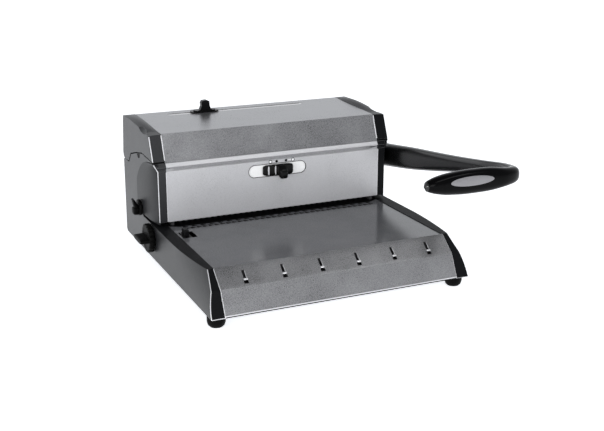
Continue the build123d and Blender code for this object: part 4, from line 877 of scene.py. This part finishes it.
@dataclass
class Lever:
    """The curved lever, its sideways grip with the grey insert, and its hub.

    Attributes:
        stations: Rows of x, y, z, thickness, height and squareness along its middle line.
        hub: Middle of the hub as (y, z).
        hub_profile: The hub's outline as (x, radius).
        insert_middle: Middle of the insert as (x, z).
        insert_half: Half width and half height of the insert.
        insert_proud: How far the insert's middle stands out of the grip.
    """

    stations: Points = (
        (190.0, 50.0, 119.6, 19.0, 35.0, 2.6), (190.0, 30.0, 122.3, 20.0, 34.0, 2.7),
        (190.0, -54.0, 134.5, 20.0, 31.0, 2.8), (190.0, -110.0, 143.2, 19.0, 26.0, 2.8),
        (190.0, -163.0, 152.0, 17.5, 21.0, 2.7), (190.0, -220.0, 161.0, 16.5, 18.5, 2.6),
        (190.0, -276.0, 168.6, 16.0, 18.5, 2.5), (183.04, -293.04, 170.4, 16.5, 19.5, 2.4),
        (166.0, -300.0, 171.0, 19.0, 22.5, 2.3), (148.0, -300.0, 171.0, 21.8, 27.5, 2.3),
        (126.0, -300.0, 171.0, 22.3, 29.0, 2.3), (98.0, -300.0, 171.0, 22.0, 27.5, 2.3),
        (76.0, -300.0, 171.0, 20.0, 22.0, 2.2), (64.0, -300.0, 171.0, 15.0, 15.4, 2.1),
        (58.0, -300.0, 171.0, 9.0, 9.0, 2.0), (56.0, -300.0, 171.0, 2.4, 2.4, 2.0))
    hub: Pair = (50.0, 120.0)
    hub_profile: Points = (
        (178.5, 15.4), (179.0, 17.4), (180.2, 18.6), (182.0, 19.0), (196.4, 19.0), (198.4, 18.6),
        (199.6, 17.4), (200.0, 15.4))
    insert_middle: Pair = (115.0, 174.2)
    insert_half: Pair = (30.6, 5.8)
    insert_proud: float = 0.3

    def build(self) -> None:
        """Sweep the arm, turn the hub, and lay the insert on the grip."""
        line = eased(np.array(self.stations), 150)
        shell = Shell("lever_body").grid(self._sweep(line, 44))
        shell.grid(lathe(0, self.hub, self.hub_profile, 64))
        body = shell.lay("lever_arm", LEVER_BLACK, sharp=50.0, stands=True)
        # Painted sheen: the faces turned to the left take the more reflective copy.
        tint_faces(body, ARM_PAINTED_SHEEN, (-1, 0, 0), 0.6)
        softened("lever_bolt", LEVER_BLACK, 0.8, 30.0)
        insert = Shell("grip_insert_pad").grid(self._insert(line))
        insert.lay("grip_insert", INSERT_GREY, sharp=60.0, stands=True)

    @staticmethod
    def _sweep(line: np.ndarray, steps: int) -> np.ndarray:
        """Superellipse sections carried along a line, square to it, their height kept upright.

        A point is the middle, plus half the thickness times the unit superellipse's cosine along
        the level side direction, plus half the height times its sine along the upright one.
        """
        middle = line[:, :3]
        heading = np.gradient(middle, axis=0)
        heading /= np.linalg.norm(heading, axis=1)[:, None]
        side = np.cross(heading, [0.0, 0.0, 1.0])
        side /= np.linalg.norm(side, axis=1)[:, None]
        up = np.cross(side, heading)
        cos, sin = squared(turn(steps), line[:, 5:6])
        wide = line[:, 3, None] / 2 * cos
        high = line[:, 4, None] / 2 * sin
        return middle[:, None] + side[:, None] * wide[..., None] + up[:, None] * high[..., None]

    def _insert(self, line: np.ndarray) -> np.ndarray:
        """Oval pad on the grip's front: rings about its middle that follow the grip's own round.

        At a place (x, z) the grip's front lies at half its depth times
        (1 - |height share|^p)^(1/p); the pad stands proud of it by its lift, which dips below
        the grip at the rim so that a fine groove shows.
        """
        _, grip_y, grip_z = self.stations[-1][:3]
        grip = line[line[:, 1] < grip_y + 1.0][::-1]
        ring = np.array([0.0, 0.2, 0.4, 0.6, 0.75, 0.87, 0.94, 0.98, 1.0, 1.0])[:, None]
        proud = np.array([1, 1, 0.97, 0.9, 0.8, 0.6, 0.3, -0.3, -1.4, -6.0])[:, None]
        lift = self.insert_proud * proud
        angle = turn(72)
        x = self.insert_middle[0] + self.insert_half[0] * ring * np.cos(angle)
        z = self.insert_middle[1] + self.insert_half[1] * ring * np.sin(angle)
        depth, height, power = (np.interp(x, grip[:, 0], grip[:, k]) for k in (3, 4, 5))
        share = np.clip(np.abs(z - grip_z) / (height / 2), 0, 0.999)
        front = grip_y - depth / 2 * (1 - share**power)**(1 / power)
        return np.stack([x, front - lift, z], axis=-1)


@dataclass
class Feet:
    """Four tapered rubber feet, hollow for their screws.

    Attributes:
        places: Middles of the feet as (x, y).
        profile: Outline as (z, radius), from inside the bore over the foot's side and back.
    """

    places: Points = ((165.5, -202.5), (-165.5, -202.5), (146.0, 135.0), (-146.0, 135.0))
    profile: Points = (
        (6.0, 4.3), (0.6, 4.3), (0.0, 4.9), (0.0, 7.2), (0.25, 7.9), (0.9, 8.5), (2.5, 10.2),
        (5.2, 11.1), (7.2, 11.45), (14.4, 11.5), (15.0, 11.1), (15.0, 2.0), (6.0, 2.0))

    def build(self) -> None:
        """Turn each foot about its own screw."""
        shell = Shell("foot_set")
        for place in self.places:
            shell.grid(lathe(2, place, self.profile + self.profile[:1], 48), ends=False)
        shell.lay("rubber_feet", RUBBER_AND_GAP_SHADE, sharp=40.0, stands=True)


@dataclass
class Knobs:
    """The two turning knobs on the left side.

    Attributes:
        margin: Middle of the margin knob as (y, z).
        margin_face: X of its disc's inner face.
        scallops: Number of hollows round it.
        scallop_dip: Depth of a hollow.
        depth: Middle of the depth knob as (y, z).
        depth_face: X of its disc's inner face.
    """

    margin: Pair = (20.0, 45.0)
    margin_face: float = -178.4
    scallops: int = 16
    scallop_dip: float = 1.3
    depth: Pair = (72.0, 74.05)
    depth_face: float = -177.8

    def build(self) -> None:
        """Make the scalloped disc with its wing, and the small disc with its block and wing."""
        self._margin_knob().lay("margin_knob", RUBBER_AND_GAP_SHADE, stands=True)
        self._depth_knob().lay("depth_knob", RUBBER_AND_GAP_SHADE, stands=True)

    def _margin_knob(self) -> Shell:
        """Turn the disc and draw its rim in at each scallop, then add the wing."""
        profile = np.array([(0.0, 18.6), (-0.4, 19.6), (-1.2, 20.0), (-6.6, 20.0), (-7.5, 19.6),
                            (-8.0, 18.4), (-8.2, 15.0), (-7.7, 13.5), (-7.7, 5.0)])
        rows = lathe(0, self.margin, profile + (self.margin_face, 0.0), 192)
        dip = self.scallop_dip * np.clip(np.cos(self.scallops * turn(192)), 0, 1)**2
        radius = profile[:, 1:]
        share = np.where(radius > 0.85 * radius.max(), 1 - dip / radius.max(), 1.0)
        rows[:, :, 1:] = (rows[:, :, 1:] - self.margin) * share[:, :, None] + self.margin
        return Shell("margin_knob_body").grid(rows).grid(self._margin_wing())

    def _margin_wing(self) -> np.ndarray:
        """Finger blade: a superellipse section that draws in towards its outer edge.

        The share of its size at the fraction t of its reach is 1 - 0.12 t, less
        0.3 (1 - (1 - s^3)^(1/3)) in the last fifth, s being the fraction of that fifth; the
        length takes a quarter of that change.
        """
        cos, sin = squared(turn(56), 3.2)
        late = np.sin(np.linspace(0.2, math.pi / 2, 8))
        t = np.concatenate([np.linspace(0, 0.8, 6), 0.8 + 0.2 * late])[:, None]
        late = np.clip((t - 0.8) / 0.2, 0, 1)
        share = (1 - 0.12 * t) - 0.3 * (1 - (1 - late**3)**(1 / 3))
        half_length, half_thick, start, reach = 19.0, 4.0, 7.0, 13.0
        y = half_length * (0.75 + 0.25 * share) * cos
        z = half_thick * share * sin
        x = self.margin_face - start - reach * t + 0 * y
        return np.stack([x, self.margin[0] + y, self.margin[1] + z], axis=-1)

    def _depth_knob(self) -> Shell:
        """Turn the disc and add the block and the slanted wing."""
        (y, z), face = self.depth, self.depth_face
        disc = np.array([(0.0, 10.8), (-0.5, 11.4), (-2.6, 11.4), (-3.4, 11.0), (-3.7, 10.0),
                         (-3.7, 4.0)])
        shell = Shell("depth_knob_body").grid(lathe(0, self.depth, disc + (face, 0.0), 64))
        shell.grid(bar((face - 11.5, face - 2.0), (y - 6.5, y + 6.5), (z - 9.6, z + 1.5), 4.0))
        wing = np.array([(-5.0, -3.0, 5.0), (-7.0, 3.0, 4.2), (-9.0, 8.0, 3.2),
                         (-10.6, 12.4, 1.9)])
        cos, sin = squared(turn(40), 3.0)
        out, lift, size = wing[:, :1], wing[:, 1:2], wing[:, 2:]
        return shell.grid(np.stack([face + out + size * 0.6 * cos, y + 5.0 * sin + 0 * out,
                                    z + lift + 0.5 * size * cos], axis=-1))


@dataclass
class Selector:
    """The front slider in its window, with a black ring of painted shade inside the window's edge,
    and the marks of its positions.

    Attributes:
        middle: Middle of the window as (x, z).
        window: Half length and half height of the window.
        blocks: Limits in X and Z about the middle and in Y, and power, of the slider's blocks.
        tab: Sections of its thumb tab as (y, z from the middle, half width, half height).
        positions: X of the printed ring and dot of each position.
        ring: Inner and outer radius of a ring.
        dot: Radius of a dot.
    """

    middle: Pair = (1.3, 126.6)
    window: Pair = (43.65, 9.1)
    blocks: tuple[tuple[Pair, Pair, Pair, float], ...] = (
        ((-22.8, 22.8), (-2.5, 0.9), (-7.6, 7.6), 6.0),
        ((-3.0, 22.2), (-4.7, 0.9), (-7.4, 7.5), 5.0),
        ((-4.0, 4.0), (0.2, 3.0), (-2.2, 2.2), 8.0))
    tab: Points = (
        (-2.0, 0.5, 6.6, 6.6), (-5.0, -0.6, 6.4, 7.6), (-8.5, -3.0, 6.1, 7.4),
        (-11.5, -4.6, 5.8, 6.6), (-13.0, -5.2, 5.0, 5.4), (-13.6, -5.4, 3.6, 4.0))
    positions: Points = ((-9.6, -0.3), (24.4, 14.0))
    ring: Pair = (1.75, 2.65)
    dot: float = 1.95

    def build(self) -> None:
        """Make the slider, its two bars of painted highlight, the ring of painted shade in the
        window and the printed marks.
        """
        x, z = self.middle
        shell = Shell("front_slider_block")
        for across, deep, high, power in self.blocks:
            shell.grid(bar((x + across[0], x + across[1]), deep, (z + high[0], z + high[1]), power))
        shell.grid(self._tab())
        shell.lay("front_slider", KNOB_BLACK, sharp=40.0, stands=True)
        # Painted highlight: two silver bars on the slider stand for glints of light.
        marks = Shell("front_slider_glints")
        for centre, half in ((-13.2, 1.3), (-2.9, 1.2)):
            marks.grid(bar((centre - half, centre + half), (-3.4, -1.8), (z - 6.6, z + 6.3), 2.6))
        marks.lay("front_slider", SILVER_PAINT_AND_GLINT, "scale_white", 50.0)
        # Painted shade: a black ring inside the window's edge, where the gap to the scale plate
        # lies in shadow.
        rim = Shell("window_shade_ring").grid(self._window_shade_section(), ends=False)
        rim.lay("front_scale_plate", PRINT_AND_SHADE_BLACK, "knob_plastic")
        self._icons()

    def _tab(self) -> np.ndarray:
        """Thumb tab: a rounded oblong section that drops and narrows on its way out."""
        x, z = self.middle
        line = np.array(self.tab)
        cos, sin = squared(turn(40), 5.0)
        return np.stack([x + 4.7 + line[:, 2:3] * cos, line[:, :1] + 0 * cos,
                         z + line[:, 1:2] + line[:, 3:] * sin], axis=-1)

    def _window_shade_section(self) -> np.ndarray:
        """Section of (inwards, y) pairs carried round the window's oval, for the ring of painted
        shade.

        The oval is the middle run of the window plus a half circle at each end; a point is the
        oval's line at the window's edge less the section's inwards distance along its normal.
        """
        section = np.array([(0.0, 0.3), (0.0, 1.15), (0.7, 1.15), (0.7, 0.3)])
        run = self.window[0] - self.window[1]
        angle = turn(96) + math.pi / 96
        radius = self.window[1] - section[:, :1]
        x = self.middle[0] + np.sign(np.cos(angle)) * run + radius * np.cos(angle)
        z = self.middle[1] + radius * np.sin(angle)
        closed = np.stack([x, section[:, 1:] + 0 * angle, z], axis=-1)
        return np.concatenate([closed, closed[:1]])

    def _icons(self) -> None:
        """Print the marks of the two positions: open ring to dot, and dot to open ring."""
        ink, white = Shell("position_marks"), Shell("position_marks_light")
        for ring, dot in self.positions:
            ink.grid(self._disc(ring, *self.ring), ends=False)
            white.grid(self._disc(ring, 0.0, self.ring[0]), ends=False)
            ink.grid(self._disc(dot, 0.0, self.dot), ends=False)
            low, high = sorted((ring, dot))
            white.grid(bar((low + 2.6, high - 1.9), (-0.12, 0.05), (138.0, 138.7), 4.0, 7))
            ink.grid(bar((low + 2.2, high - 1.6), (-0.1, 0.05), (137.4, 137.75), 4.0, 7))
        ink.lay("front_panel", PRINT_AND_SHADE_BLACK, "knob_plastic")
        white.lay("front_panel", SCALE_WHITE, "scale_white")

    @staticmethod
    def _disc(x: float, inner: float, outer: float) -> np.ndarray:
        """Flat disc or ring of print, 0.15 mm thick and closed all round."""
        front, back = -0.12, 0.03
        profile = ((front, inner), (front, outer), (back, outer), (back, inner), (front, inner))
        return lathe(1, (x, 138.3), profile, 32)


def dress_frame() -> None:
    """Give every CAD node its finish."""
    for node, thing in FRAME["nodes"].items():
        finish = NODE_FINISH.get(node, SLOT_FINISH[NODE_SLOT[node]])
        thing.data.materials.clear()
        thing.data.materials.append(finish.material())


def main() -> None:
    """Build the studio and every dressed piece in order."""
    logging.basicConfig(level=logging.INFO, format="%(name)s %(message)s")
    dress_frame()
    for group in (Studio(), Casings(), Panels(), Rail(), Lever(), Feet(), Knobs(), Selector()):
        group.build()
    for node, finish in (("top_slider", KNOB_BLACK), ("edge_guide", GUIDE_GREY),
                         ("chip_drawer", DRAWER_BLACK)):
        softened(node, finish, 0.5)


if __name__ == "__main__":
    main()
